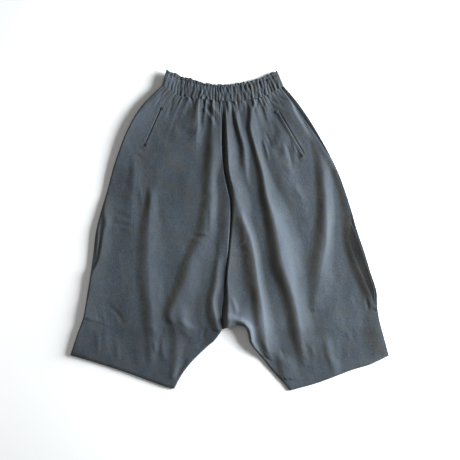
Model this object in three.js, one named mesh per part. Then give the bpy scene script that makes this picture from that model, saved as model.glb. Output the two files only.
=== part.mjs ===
import * as THREE from 'three';

// Harem pants laid flat, waist towards +Y, hems towards -Y and the front uppermost.
// Left and right are as seen from above. The back panels rest on z = 0.
// Every length is in millimetres.

// Cloth and the layers it lies in
const clothThickness = 1.6;
const pleatThickness = 1.2;
const seamGap = 0.3;
const frontEdgeLow = clothThickness + seamGap;
const pleatEdgeLow = frontEdgeLow + pleatThickness + seamGap;
const puffHeight = 3.6;
const edgeRoll = 12;
const seamRoll = 6;
const hemRoll = 8;
const hemFade = 45;
const steepestWall = 2.2;
const thinnestWall = 0.9;
const slopeStep = 0.01;

// Elastic waistband with a frilled heading above its upper stitch line
const bandThickness = 2.2;
const bandEndHeight = 6;
const bandPuff = 2.2;
const bandEndRoll = 16;
const headingShare = 0.2;
const gathersAround = 34;
const gatherHeight = 1.5;
const headingGatherHeight = 2.1;
const headingDrop = 0.6;
const headingFrill = 0.9;
const headingFrillRoll = 8;
const bandBackThickness = 2.4;
const bandOverPanel = 1.2;
const backGatherHeight = 0.9;
const backBandInset = 2;
const backSeamDrop = 1.2;
const backSideInset = 2;
const backHemRise = 0.8;

// Gathers that run on from the band into each front panel
const panelGathers = 9;
const panelGatherHeight = 2.2;
const panelGatherReach = 55;
const bandBlendReach = 20;

// Pocket openings: a narrow welt stitched along the inner side of each slit
const weltWidth = 7;
const weltThickness = 1.2;
const weltGap = 0.5;
const weltColumns = 2;
const weltRows = 16;
const rayStart = 200;

// The crotch of the right leg stands up a little, with both layers in it
const crotchLift = { x: 44, y: -266, height: 11, reach: 44 };
const liftClearance = 0.16;
const leastLift = 0.05;

// The fold down the left side stands up off the surface, most at the hip
const sideLift = {
  height: 11, reach: 58, topReach: 150, lowShare: 0.3, hipEnd: 0.45, hipFade: 0.35, end: 0.9, fade: 0.3,
};

// Grids
const panelColumns = 36;
const backColumns = 12;
const backRowShare = 1.5;
const backColumnPower = 1.8;
const columnCrowding = 0.055;
const rowsToCrotch = 18;
const rowsBelowCrotch = 9;
const sideShareAtCrotch = 0.63;

// Outlines, each from its first end to its last, as x and y
const outline = {
  waistTop: [
    [-169.4, 431.5], [-145, 422], [-118, 412], [-91, 405], [-64, 397], [-38, 393.5],
    [-5, 394], [30, 398], [60, 405], [87, 413], [109, 423], [127.5, 430.5],
  ],
  bandSeam: [
    [-181, 390], [-161, 375], [-140, 363], [-107, 357.5], [-67, 353.5], [-25, 349.5],
    [14, 348.5], [55, 353.5], [87, 360], [114, 372], [145, 389],
  ],
  centreSeam: [
    [-25, 349.5], [-22, 298], [-21, 217], [-11.5, 136], [1.5, 74], [0.5, 10],
    [-6, -80], [-12.5, -161], [-20.5, -215], [-20, -266],
  ],
  leftSide: [
    [-181, 390], [-234, 337], [-272, 276], [-307, 187], [-331.5, 101], [-358, 6],
    [-370, -85], [-384, -175], [-394.5, -236], [-411, -281], [-429.4, -336.5],
  ],
  rightSide: [
    [145, 389], [183, 344], [234, 267], [289.5, 163], [324, 67], [342, 4],
    [364, -61], [379, -111], [396, -165], [398, -207], [408, -261], [429.4, -338],
  ],
  rightFrontSide: [
    [137, 384.6], [162.5, 352], [181.5, 325], [220.5, 271], [256, 217], [276, 185],
    [321.5, 63], [325, 20], [320, -10], [328, -53], [345.5, -94], [364, -137],
    [383, -182], [394, -215], [405.5, -255], [428.4, -337.7],
  ],
  leftInseam: [
    [-20, -266], [-40, -295], [-65, -317], [-100, -351.5], [-119, -374], [-133, -395],
    [-149.5, -426.5],
  ],
  rightInseam: [
    [-20, -266], [0, -263], [24, -261], [42, -269], [51, -286], [57, -303], [67, -318],
    [92, -349], [109, -371.5], [146, -412], [161.5, -431.5],
  ],
  leftHemLine: [
    [-149.5, -426.5], [-174, -420.5], [-204, -410], [-281, -382], [-368, -354], [-429.4, -336.5],
  ],
  rightHemLine: [[161.5, -431.5], [241.5, -409.5], [336, -374.5], [378.5, -362], [429.4, -338]],
  rightPleat: [
    [312, 50], [337, -4], [357, -58], [379, -128], [389, -161], [391.5, -196],
    [396, -234], [401, -258],
  ],
  leftPleat: [[-345, 30], [-357, -30], [-364, -85], [-377, -175], [-389, -236], [-397, -258]],
};
const pleatDepth = 42;
const pleatTopShare = 0.35;
const pleatColumns = 2;
const pleatRows = 14;
const sideSamples = 400;

// Pocket slits, upper end first
const pocketSlits = {
  left: { from: [-183.5, 328], to: [-227, 230.5], inward: 1 },
  right: { from: [131, 320], to: [200, 203], inward: -1 },
};

// Folds of the front, each a ridge that runs down the cloth. A row is one place on its
// crest: y and x there, the ridge's height, and how far its left and right flanks reach.
const foldColumns = ['y', 'x', 'height', 'left', 'right'];
const foldScale = 0.75;
// Folds that stop at the centre seam belong to one leg alone
const leftFolds = ['seamRise', 'seamLeft'];
const foldRows = {
  seamRidge: [
    [342, -12, 3, 9, 14], [285, -6, 9, 12, 18], [217, -1, 12, 15, 28], [157, 3, 12, 14, 36],
    [109, 15, 11, 18, 36], [68, 30, 12, 26, 32], [28, 41, 14, 36, 22], [-12, 57, 13, 46, 16],
    [-66, 70, 13, 48, 15], [-134, 80, 14, 46, 16], [-201, 90, 12, 46, 22], [-269, 97, 10, 34, 34],
    [-323, 105, 6, 27, 30], [-356, 110, 0, 24, 22],
  ],
  seamLip: [
    [114, 6, 0, 8, 20], [68, 15, 5, 12, 20], [14, 11, 4, 11, 22], [-53, 6, 5, 12, 27],
    [-134, 0, 8, 12, 34], [-188, 4, 9, 20, 34], [-236, 2, 9, 20, 26], [-268, -2, 6, 18, 18],
  ],
  wedgeRidge: [
    [352, 7, 3, 5, 9], [320, 13, 6, 8, 22], [271, 30, 8, 16, 15], [222, 43, 8, 19, 12],
    [177, 46, 6, 28, 9], [145, 47, 4, 36, 8], [118, 50, 0, 20, 8],
  ],
  mainRight: [
    [363, 50, 3, 8, 11], [320, 58, 7, 12, 36], [271, 61, 9, 17, 30], [217, 75, 9, 20, 14],
    [158, 92, 10, 24, 17], [96, 105, 14, 30, 36], [28, 125, 17, 40, 50], [-39, 139, 18, 44, 62],
    [-93, 150, 20, 48, 58], [-147, 167, 17, 46, 44], [-201, 181, 14, 44, 36],
    [-255, 191, 13, 42, 38], [-309, 197, 8, 34, 46], [-366, 203, 1, 22, 32],
  ],
  pocketRidge: [
    [362, 92, 2, 6, 16], [330, 96, 3, 8, 16], [290, 104, 0, 12, 20],
  ],
  hipTop: [
    [372, 140, 0, 30, 8], [350, 160, 5, 60, 8], [325, 170, 7, 66, 10], [271, 200, 5, 60, 14],
    [230, 222, 0, 40, 14],
  ],
  hemRight: [
    [-322, 128, 0, 20, 30], [-350, 140, 4, 22, 40], [-372, 146, 4, 22, 44],
    [-400, 150, 3, 20, 40],
  ],
  hemMid: [
    [-276, 258, 0, 14, 20], [-309, 262, 2.5, 16, 20], [-340, 268, 2.5, 16, 20],
    [-363, 280, 3, 20, 24], [-396, 284, 2, 20, 20],
  ],
  swirl: [
    [300, 120, 0, 14, 30], [271, 136, 3, 18, 50], [217, 128, 4, 30, 54], [150, 146, 4, 44, 46],
    [82, 176, 3, 40, 40], [30, 190, 0, 30, 36],
  ],
  hipRight: [
    [292, 206, 1, 11, 20], [239, 230, 3, 16, 30], [195, 245, 5, 24, 28], [131, 255, 8, 28, 26],
    [50, 260, 11, 32, 26], [-26, 259, 12, 46, 26], [-93, 248, 10, 44, 34], [-147, 240, 6, 36, 44],
    [-215, 228, 2, 24, 36],
  ],
  rightRim: [
    [260, 228, 0, 12, 6], [217, 256, 4, 20, 6], [150, 292, 4, 20, 6], [82, 320, 7, 30, 6],
    [42, 333, 9, 38, 6], [0, 337, 10, 46, 6], [-53, 343, 9, 44, 6], [-93, 357, 8, 40, 6],
    [-147, 380, 8, 44, 6], [-201, 396, 8, 56, 6], [-255, 412, 9, 66, 6], [-309, 428, 11, 76, 6],
    [-335, 436, 10, 76, 6], [-372, 444, 4, 60, 6],
  ],
  seamLeft: [
    [341, -42, 2, 16, 60], [298, -38, 5, 30, 60], [244, -40, 8, 34, 60], [217, -42, 9, 32, 50],
    [150, -50, 8, 30, 20], [82, -51, 8, 32, 22], [28, -56, 8, 36, 24], [-4, -60, 7, 40, 30],
    [-39, -80, 7, 32, 44], [-85, -102, 8, 30, 54], [-139, -117, 8, 30, 54],
    [-188, -140, 8, 27, 59], [-236, -156, 8, 22, 59], [-269, -143, 5, 22, 43],
    [-323, -141, 4, 24, 22], [-398, -153, 2, 14, 11],
  ],
  seamRise: [
    [190, -14, 0, 26, 8], [150, -10, 3, 28, 8], [96, -2, 4, 30, 8], [15, -2, 5, 34, 8],
    [-53, -6, 4, 34, 8], [-80, -8, 1, 20, 8], [-100, -8, 0, 14, 8],
  ],
  gatherLeft: [
    [357, -83, 3, 10, 6], [303, -86, 6, 50, 8], [271, -86, 8, 100, 15], [240, -89, 6, 80, 17],
    [217, -91, 3, 60, 16], [163, -91, 0, 38, 16],
  ],
  innerLeft: [
    [-24, -26, 0, 11, 16], [-60, -27, 2, 14, 19], [-93, -31, 4, 16, 20], [-147, -36, 7, 22, 20],
    [-188, -44, 8, 24, 16], [-228, -39, 8, 30, 14], [-269, -29, 4, 22, 11],
  ],
  midLeft: [
    [122, -213, 0, 14, 22], [82, -211, 6, 18, 22], [28, -215, 7, 30, 28], [-53, -217, 7, 38, 34],
    [-147, -216, 7, 40, 38], [-228, -208, 6, 36, 32], [-309, -207, 5, 24, 20],
    [-377, -215, 0, 20, 20],
  ],
  upperLeft: [
    [217, -258, 0, 16, 22], [150, -256, 3, 19, 27], [68, -264, 3, 38, 22], [15, -264, 2, 38, 22],
    [-26, -264, 0, 32, 22],
  ],
  leftRim: [
    [96, -331, 0, 10, 22], [50, -335, 4, 12, 24], [15, -329, 5, 14, 20], [-39, -346, 5, 12, 38],
    [-93, -358, 5, 10, 44], [-147, -369, 7, 8, 56], [-201, -381, 8, 8, 66],
    [-250, -396, 6, 8, 90], [-300, -412, 6, 8, 130], [-340, -425, 5, 8, 140],
    [-400, -430, 0, 8, 140],
  ],
  kneeBump: [
    [-196, -122, 0, 27, 30], [-232, -122, 5, 28, 36], [-262, -116, 6, 28, 34],
    [-306, -102, 0, 27, 24],
  ],
};

// Colours
const navyGrey = new THREE.MeshStandardMaterial({ color: 0x4b545e, roughness: 0.88, metalness: 0 });
const navyGreyDeep = new THREE.MeshStandardMaterial({ color: 0x3f474f, roughness: 0.9, metalness: 0 });
const navyGreyBand = new THREE.MeshStandardMaterial({ color: 0x47505a, roughness: 0.88, metalness: 0 });

const clamp01 = (value) => Math.min(1, Math.max(0, value));
const mix = (a, b, t) => a + (b - a) * t;
const curveThrough = (points) => new THREE.CatmullRomCurve3(
  points.map(([x, y]) => new THREE.Vector3(x, y, 0)), false, 'centripetal');

// A quarter round: 0 at the edge, 1 from the given width inwards
function roll(distance, width) {
  const t = clamp01(distance / width);
  return Math.sqrt(1 - (1 - t) ** 2);
}

// Value of one column of a fold at height y, on a Catmull-Rom spline through its rows
function along(rows, column, y) {
  const last = rows.length - 1;
  if (y >= rows[0][0]) return rows[0][column];
  if (y <= rows[last][0]) return rows[last][column];
  const k = rows.findIndex((row, index) => index < last && y <= row[0] && y >= rows[index + 1][0]);
  const [a, b, c, d] = [Math.max(k - 1, 0), k, k + 1, Math.min(k + 2, last)].map((index) => rows[index]);
  const t = (b[0] - y) / (b[0] - c[0]);
  const startSlope = (c[column] - a[column]) / (a[0] - c[0]) * (b[0] - c[0]);
  const endSlope = (d[column] - b[column]) / (b[0] - d[0]) * (b[0] - c[0]);
  const t2 = t * t;
  const t3 = t2 * t;
  return (2 * t3 - 3 * t2 + 1) * b[column] + (t3 - 2 * t2 + t) * startSlope
    + (3 * t2 - 2 * t3) * c[column] + (t3 - t2) * endSlope;
}

// Height that one fold adds at a point: a half cosine down each flank of its crest
function foldHeight(rows, x, y) {
  const [first, last] = [rows[0], rows[rows.length - 1]];
  if (y > first[0] || y < last[0]) return 0;
  const at = (name) => along(rows, foldColumns.indexOf(name), y);
  const offset = x - at('x');
  const flank = offset < 0 ? at('left') : at('right');
  const t = Math.abs(offset) / flank;
  return t >= 1 ? 0 : Math.max(0, at('height')) * 0.5 * (1 + Math.cos(Math.PI * t));
}

// All folds of a leg, added up
function allFolds(leg, x, y) {
  const names = Object.keys(foldRows).filter((name) => leg === 'left' || !leftFolds.includes(name));
  return foldScale * names.reduce((sum, name) => sum + foldHeight(foldRows[name], x, y), 0);
}

// Uneven gathers: the phase of the wave drifts, so no two are alike
function gatherWave(place, count) {
  const drift = 0.35 * Math.sin(7.3 * place + 0.6) + 0.22 * Math.sin(17.1 * place + 2.1);
  return Math.sin(2 * Math.PI * (count * place + drift)) * (0.78 + 0.22 * Math.sin(11.7 * place));
}

// The crotch's bell, for the right leg and the folds of both
function liftAt(x, y) {
  const { x: cx, y: cy, height, reach } = crotchLift;
  return height * Math.exp(-((x - cx) ** 2 + (y - cy) ** 2) / (2 * reach * reach));
}

// How far the left side stands up: a square of the way left to the side, at share v of
// the way from waist to hem
function sideLiftAt(leg, toSide, v, reach) {
  if (leg === 'right') return 0;
  const { height, lowShare, hipEnd, hipFade, end, fade } = sideLift;
  const share = mix(lowShare, 1, clamp01((hipEnd - v) / hipFade)) * clamp01((end - v) / fade);
  return height * clamp01(1 - toSide / reach) ** 2 * share * share * (3 - 2 * share);
}

// A panel is a patch between its top edge, its hem, an inner and an outer side.
// u runs from the inner side to the outer, v from the waist to the hem.
function panelPatch({ top, hem, seam, inseam, side }) {
  const crotchShare = rowsToCrotch / (rowsToCrotch + rowsBelowCrotch);
  const inner = (v) => (v <= crotchShare
    ? seam.getPointAt(clamp01(v / crotchShare))
    : inseam.getPointAt(clamp01((v - crotchShare) / (1 - crotchShare))));
  const outer = (v) => side.getPointAt(clamp01(v <= crotchShare
    ? sideShareAtCrotch * v / crotchShare
    : mix(sideShareAtCrotch, 1, (v - crotchShare) / (1 - crotchShare))));
  const bow = (edge, u) => edge(u).sub(edge(0).lerp(edge(1), u));
  return (u, v) => {
    const [a, b] = [inner(v), outer(v)];
    const point = a.clone().lerp(b, u);
    point.addScaledVector(bow(top, u), 1 - v);
    point.addScaledVector(bow(hem, u), v);
    return { x: point.x, y: point.y, toInner: u * a.distanceTo(b), toSide: (1 - u) * a.distanceTo(b) };
  };
}

// A closed wall from a grid of points, each with an under and an upper height
function closedSheet(name, columns, rows, pointAt, material) {
  const across = columns + 1;
  const layer = across * (rows + 1);
  const positions = new Float32Array(layer * 2 * 3);
  for (let j = 0; j <= rows; j += 1) {
    for (let i = 0; i <= columns; i += 1) {
      const [x, y, low, high] = pointAt(i / columns, j / rows, i, j);
      const k = j * across + i;
      positions.set([x, y, high], k * 3);
      positions.set([x, y, low], (k + layer) * 3);
    }
  }
  const faces = [];
  const quad = (a, b, c, d) => faces.push(a, b, c, a, c, d);
  for (let j = 0; j < rows; j += 1) {
    for (let i = 0; i < columns; i += 1) {
      const [a, b] = [j * across + i, j * across + i + 1];
      const [c, d] = [b + across, a + across];
      quad(a, b, c, d);
      quad(d + layer, c + layer, b + layer, a + layer);
    }
  }
  const rim = (a, b) => quad(b, a, a + layer, b + layer);
  for (let i = 0; i < columns; i += 1) {
    rim(i, i + 1);
    rim(rows * across + i + 1, rows * across + i);
  }
  for (let j = 0; j < rows; j += 1) {
    rim((j + 1) * across, j * across);
    rim(j * across + columns, (j + 1) * across + columns);
  }
  // Turn every face round where the grid runs clockwise seen from above
  const corner = (k) => new THREE.Vector2(positions[k * 3], positions[k * 3 + 1]);
  const ring = [0, columns, rows * across + columns, rows * across].map(corner);
  if (THREE.ShapeUtils.area(ring) < 0) faces.reverse();
  const geometry = new THREE.BufferGeometry();
  geometry.setAttribute('position', new THREE.BufferAttribute(positions, 3));
  geometry.setIndex(faces);
  geometry.computeVertexNormals();
  const mesh = new THREE.Mesh(geometry, material);
  mesh.name = name;
  return mesh;
}

// The four shared edges of a leg, for its front or its back
function legEdges(leg, side) {
  const bandSeam = curveThrough(outline.bandSeam);
  const centre = curveThrough(outline.centreSeam);
  const hem = curveThrough(outline[`${leg}HemLine`]);
  const end = leg === 'left' ? 0 : 1;
  const splitShare = seamSplitShare(bandSeam);
  return {
    top: (u) => bandSeam.getPointAt(clamp01(mix(splitShare, end, u))),
    hem: (u) => hem.getPointAt(clamp01(u)),
    seam: centre,
    inseam: curveThrough(outline[`${leg}Inseam`]),
    side: curveThrough(side),
  };
}

// Where the centre seam meets the band, as a share of the band seam's length
function seamSplitShare(bandSeam) {
  const samples = 400;
  const goal = outline.centreSeam[0][0];
  const shares = Array.from({ length: samples + 1 }, (_, k) => k / samples);
  const miss = (share) => Math.abs(bandSeam.getPointAt(share).x - goal);
  return shares.reduce((best, share) => (miss(share) < miss(best) ? share : best), 0);
}

// Under a pleated edge the front lies one layer higher
function edgeLowAt(y) {
  const [pleatTop, pleatEnd, fade] = [40, -262, 25];
  const share = clamp01((pleatTop + fade - y) / fade) * clamp01((y - pleatEnd + fade) / fade);
  return mix(frontEdgeLow, pleatEdgeLow, share);
}

// Heights of a front panel's lower and upper face
function frontHeights(leg, place, u, v) {
  const { x, y, toInner, toSide } = place;
  const length = outline.centreSeam[0][1] - outline.rightHemLine[0][1];
  const toTop = v * length;
  const toHem = (1 - v) * length;
  const lift = liftAt(x, y) + sideLiftAt(leg, toSide, v, sideLift.reach);
  const topLift = liftAt(x, y) + sideLiftAt(leg, toSide, v, sideLift.topReach);
  const edgeLow = edgeLowAt(y);
  const rim = roll(toSide, edgeRoll) * roll(toInner, seamRoll) * roll(toHem, hemRoll);
  const gathers = panelGatherHeight * gatherWave(u, panelGathers) * Math.exp(-toTop / panelGatherReach);
  const resting = edgeLow + clothThickness + puffHeight * rim;
  const folded = resting + allFolds(leg, x, y) * roll(toHem, hemFade) * roll(toSide, edgeRoll);
  const banded = bandEndHeight + bandPuff * roll(toSide, bandEndRoll) - bandOverPanel;
  const high = mix(folded, banded, Math.exp(-((toTop / bandBlendReach) ** 2))) + gathers * rim + topLift;
  return { high, floor: edgeLow + lift * (1 + liftClearance) };
}

function frontPanel(leg, side) {
  const patch = panelPatch(legEdges(leg, side));
  const rows = rowsToCrotch + rowsBelowCrotch;
  const inset = (leg === 'left' ? -1 : 1) * seamGap / 2;
  const heightAt = (u, v) => {
    const place = patch(u, v);
    return { place, ...frontHeights(leg, place, u, v) };
  };
  return closedSheet(`front_panel_${leg}`, panelColumns, rows, (share, v, i, j) => {
    const u = columnShare(share);
    const { place, high, floor } = heightAt(u, v);
    const slopeTowards = (other) => (other.high - high)
      / Math.hypot(other.place.x - place.x, other.place.y - place.y);
    const slope = Math.hypot(
      slopeTowards(heightAt(u > 0.5 ? u - slopeStep : u + slopeStep, v)),
      slopeTowards(heightAt(u, v > 0.5 ? v - slopeStep : v + slopeStep)),
    );
    const wall = clothThickness * Math.min(steepestWall, Math.hypot(1, slope));
    const low = Math.max(floor, high - wall);
    const x = place.x + inset * (1 - u);
    const y = place.y - (j === 0 ? seamGap : 0);
    return [x, y, low, Math.max(high, low + clothThickness * thinnestWall)];
  }, navyGrey);
}

// Columns lie closer together beside both sides of a panel
const columnShare = (share) => share - columnCrowding * Math.sin(2 * Math.PI * share);

function backPanel(leg, side) {
  const patch = panelPatch(legEdges(leg, side));
  const backRows = Math.round((rowsToCrotch + rowsBelowCrotch) / backRowShare);
  const outwards = leg === 'left' ? -1 : 1;
  const sideInset = leg === 'left' ? backSideInset : 0;
  const hemRise = leg === 'left' ? backHemRise : 0;
  return closedSheet(`back_panel_${leg}`, backColumns, backRows, (share, v, i, j) => {
    const u = 1 - (1 - share) ** backColumnPower;
    const place = patch(u, v);
    const crotch = leg === 'right' ? liftAt(place.x, place.y) : 0;
    const lift = crotch + sideLiftAt(leg, place.toSide, v, sideLift.reach);
    const low = lift < leastLift ? 0 : lift;
    const x = place.x + outwards * ((seamGap / 2) * (1 - u) - sideInset * u);
    const y = place.y - (j === 0 ? backSeamDrop : 0) + (j === backRows ? hemRise : 0);
    return [x, y, low, low + clothThickness];
  }, navyGreyDeep);
}

// Waistband: its heading is the narrow frill above the upper stitch line
function waistband(name, { inset, columnsPerGather, bandRows, heights, material }) {
  const top = curveThrough(outline.waistTop);
  const bottom = curveThrough(outline.bandSeam);
  const columns = gathersAround * columnsPerGather;
  return closedSheet(name, columns, bandRows.length - 1, (u, share, i, j) => {
    const v = bandRows[j];
    const [a, b] = [top.getPointAt(u), bottom.getPointAt(u)];
    const point = a.clone().lerp(b, v);
    const toEnd = Math.min(u, 1 - u) * top.getLength();
    const ruffle = headingFrill * (gatherWave(u, gathersAround) - 1) * roll(toEnd, headingFrillRoll);
    const frill = v === 0 ? ruffle : 0;
    const { low, high } = heights(u, v, toEnd);
    const lift = sideLiftAt('left', u * top.getLength(), 0, sideLift.reach);
    const pinch = 1 - 2 * inset / top.getLength();
    return [point.x * pinch, point.y + frill - inset * (1 - v), low + lift, high + lift];
  }, material);
}

const waistbandFront = waistband('waistband_front', {
  inset: 0,
  columnsPerGather: 4,
  bandRows: [0, headingShare, 0.6, 1],
  heights: (u, v, toEnd) => {
    const height = v < headingShare / 2 ? headingGatherHeight : gatherHeight;
    const wave = height * gatherWave(u, gathersAround) - (v === headingShare ? headingDrop : 0);
    const high = bandEndHeight + (bandPuff + wave) * roll(toEnd, bandEndRoll);
    return { low: high - bandThickness, high };
  },
  material: navyGreyBand,
});

const waistbandBack = waistband('waistband_back', {
  inset: backBandInset,
  columnsPerGather: 3,
  bandRows: [0, headingShare, 1],
  heights: (u, v, toEnd) => ({
    low: 0,
    high: bandBackThickness + backGatherHeight * gatherWave(u, gathersAround) * roll(toEnd, bandEndRoll),
  }),
  material: navyGreyBand,
});

const frontLeft = frontPanel('left', outline.leftSide);
const frontRight = frontPanel('right', outline.rightFrontSide);
const backLeft = backPanel('left', outline.leftSide);
const backRight = backPanel('right', outline.rightSide);

// A welt follows the panel it is sewn to: each of its points is found on the panel below
// and moved out
function pocketWelt(leg, panel) {
  const { from, to, inward } = pocketSlits[leg];
  const ray = new THREE.Raycaster();
  const down = new THREE.Vector3(0, 0, -1);
  const panelHeight = (x, y) => {
    ray.set(new THREE.Vector3(x, y, rayStart), down);
    return ray.intersectObject(panel)[0].point.z;
  };
  const direction = new THREE.Vector2(to[0] - from[0], to[1] - from[1]).normalize();
  const across = new THREE.Vector2(-direction.y, direction.x);
  if (across.x * inward < 0) across.negate();
  return closedSheet(`pocket_welt_${leg}`, weltColumns, weltRows, (u, v) => {
    const x = mix(from[0], to[0], v) + across.x * weltWidth * u;
    const y = mix(from[1], to[1], v) + across.y * weltWidth * u;
    const low = panelHeight(x, y) + weltGap;
    return [x, y, low, low + weltThickness];
  }, navyGrey);
}

// The layer folded under beside each side seam, between the front and the back
function sidePleat(leg, points) {
  const edge = curveThrough(points);
  const inward = leg === 'left' ? 1 : -1;
  const side = curveThrough(outline.leftSide).getPoints(sideSamples);
  const length = side[0].y - side[sideSamples].y;
  return closedSheet(`side_pleat_${leg}`, pleatColumns, pleatRows, (u, v) => {
    const point = edge.getPointAt(v);
    const depth = pleatDepth * Math.min(1, pleatTopShare + v);
    const x = point.x + inward * depth * u;
    const beside = side.find((place) => place.y <= point.y);
    const lift = sideLiftAt(leg, x - beside.x, (side[0].y - point.y) / length, sideLift.reach);
    const low = frontEdgeLow + lift * (1 + liftClearance / 2);
    return [x, point.y, low, low + pleatThickness];
  }, navyGreyDeep);
}

frontLeft.updateMatrixWorld();
frontRight.updateMatrixWorld();

const pants = new THREE.Group();
pants.add(
  backLeft,
  backRight,
  sidePleat('left', outline.leftPleat),
  sidePleat('right', outline.rightPleat),
  frontLeft,
  frontRight,
  waistbandBack,
  waistbandFront,
  pocketWelt('left', frontLeft),
  pocketWelt('right', frontRight),
);

export default pants;
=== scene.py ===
"""Harem pants laid flat: cloth shells, welts, pleats and stitching, on a plain studio floor."""

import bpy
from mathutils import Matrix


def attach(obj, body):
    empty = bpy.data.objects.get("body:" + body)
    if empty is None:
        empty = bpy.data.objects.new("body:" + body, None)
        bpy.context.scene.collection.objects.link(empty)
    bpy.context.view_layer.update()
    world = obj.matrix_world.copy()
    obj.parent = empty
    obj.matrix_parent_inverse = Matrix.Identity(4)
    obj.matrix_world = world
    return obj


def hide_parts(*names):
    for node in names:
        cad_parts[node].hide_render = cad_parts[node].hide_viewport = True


bl_info = {
    "name": "Harem Pants",
    "version": (1, 0, 0),
    "blender": (4, 5, 0),
    "location": "View3D > Sidebar > Harem Pants",
    "description": "Makes cloth harem pants laid flat, with their folds, gathers, pockets and stitching",
    "category": "Add Mesh",
}

import bpy
import numpy as np
from bpy.props import FloatProperty, FloatVectorProperty
from mathutils import Vector

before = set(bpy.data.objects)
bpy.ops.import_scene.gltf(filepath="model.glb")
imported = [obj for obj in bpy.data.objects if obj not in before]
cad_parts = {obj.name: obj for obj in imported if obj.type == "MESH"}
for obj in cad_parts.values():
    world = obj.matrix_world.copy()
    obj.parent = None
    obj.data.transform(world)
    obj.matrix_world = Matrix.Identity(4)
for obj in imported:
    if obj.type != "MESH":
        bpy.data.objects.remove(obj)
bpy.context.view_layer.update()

# Lengths in this file are in millimetres until a mesh is made
MM = 0.001
BODY = "root"
LEGS = ("left", "right")

# Cloth and the layers it lies in
CLOTH = 1.6
PLEAT = 1.2
SEAM_GAP = 0.3
FRONT_EDGE_LOW = CLOTH + SEAM_GAP
PLEAT_EDGE_LOW = FRONT_EDGE_LOW + PLEAT + SEAM_GAP
STEEPEST_WALL = 2.2
THINNEST_SHARE = 0.9
RIM_BULGE = 0.35
WIDEST_RIM = 1.6

# Grids: columns across each piece and rows down it, closer together beside every edge.
# A peak is a place, a width and a weight.
FRONT_COLUMNS, FRONT_ROWS = 200, 230
BACK_COLUMNS, BACK_ROWS = 114, 134
PLEAT_COLUMNS, PLEAT_ROWS = 36, 89
WELT_COLUMNS, WELT_ROWS = 16, 109
BAND_ROWS, BAND_BACK_ROWS = 34, 12
BAND_COLUMNS_A_GATHER, BAND_BACK_COLUMNS_A_GATHER = 14, 12
EDGE_PEAKS = [(0, 0.002, 14.0), (1, 0.002, 14.0)]
SLIT_U = 0.74
TACK_V = {"left": 0.79, "right": 0.74}
PATH_STEPS = 40

# Rims of the fronts, how far they puff up inside them, and where the folds run out
SEAM_ROLL = {"left": 3.5, "right": 7.0}
HEM_ROLL = 8.0
SIDE_ROLL_AT_BAND = 20.0
SIDE_ROLL = 4.5
PUFF = {"left": 4.2, "right": 3.4}
FOLD_END_ROLL = 45.0
LEAN_TOP_REACH = 40.0
LEAN_END_ROLL = 90.0
SIDE_TURN_COLUMNS = 3

# Slow unevenness of the fronts: height, size across, size down and seed
UNEVENNESS = ((0.5, 34, 60, 3), (0.28, 15, 22, 4), (0.1, 6, 8, 5))

# Gathers of the fronts below the band
PANEL_GATHERS = 9
PANEL_GATHER_HEIGHT = 2.2
PANEL_GATHER_REACH = 55.0
GATHERED_TO = 0.42
GATHER_FADE = 0.25
GATHER_LEFT_OVER = 0.15
FINE_GATHERS = 17
FINE_GATHER_HEIGHT = 1.1
FINE_GATHER_CHANGE = 0.8
FINE_GATHER_REACH = 30.0
BAND_BLEND_REACH = 20.0
BELOW_BAND = 1.2

# Backs
BACK_SEAM_RISE = 1.4
BACK_SIDE_INSET = {"left": 2.0, "right": 0.0}
BACK_CREASE = 0.45
BACK_THINNEST = 1.1
LEAST_LIFT = 0.05
# The right edge turns up by a share of the width that shows, less a little
CURL_SHARE = 0.24
CURL_LESS = 0.6
CURL_MOST = 2.4
CURL_START = 0.8
CURL_SPAN = 0.75
PLEAT_SHOWS = (-258, 50)

# Pleats: their depth, the layer's ridge and how much of it the underside follows
PLEAT_DEPTH = 42.0
LEFT_RIDGE = 0.6
LEFT_RIDGE_PLACE = 6.0
LEFT_RIDGE_WIDTH = 5.5
RIGHT_RIDGE_SHARE = 0.34
RIDGE_UNDERSIDE = 0.85

# Waistband
BAND_END_HEIGHT = 6.0
BAND_PUFF = 2.2
BAND_END_ROLL = 16.0
BAND_FLOOR = 3.75
BAND_WALL = 1.7
BAND_STITCH_DRAW = 1.2
BAND_SWELL = 0.9
HEADING_SHARE = 0.2
HEADING_FRILL = 2.3
RUFFLE_HEIGHT = 1.2
# The heading's ruffles: height, size and seed of each noise
HEADING_NOISE = ((1.0, 7.5, 41), (0.5, 3.4, 42))
# Fine gathers along the band, with the coarse gathers and the heading's ruffles for each of them
GATHERS_AROUND = 34
COARSE_A_GATHER = 0.55
RUFFLES_A_GATHER = 0.62
GATHER_SWAY = 2.0
BACK_BAND_INSET = 2.0
BACK_BAND_HEIGHT = 2.3
BACK_BAND_GATHER = 0.45

# Pocket welts
WELT_WIDTH = 7.0
WELT_GAP = 0.2
WELT_THICKNESS = 0.8
WELT_TOP = WELT_GAP + WELT_THICKNESS
WELT_BOW = 0.6
WELT_CROWN = 0.2
WELT_STITCH_PLACE = 0.78
WELT_STITCH_DRAW = 0.15
# The slit's trough and the lip beyond it: height, way out from the slit's line, width
SLIT_TROUGH = (-1.3, 1.2, 1.4)
SLIT_LIP = (0.35, 5.0, 3.5)
BESIDE_WELT = 2.2

# Sewing: the share of a pitch that a stitch takes, and how far its thread stands off the cloth
STITCH_SHARE = 0.62
STITCH_RAISE = 0.25
BAR_STITCHES = 12
BAR_PITCH = 0.55

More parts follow.
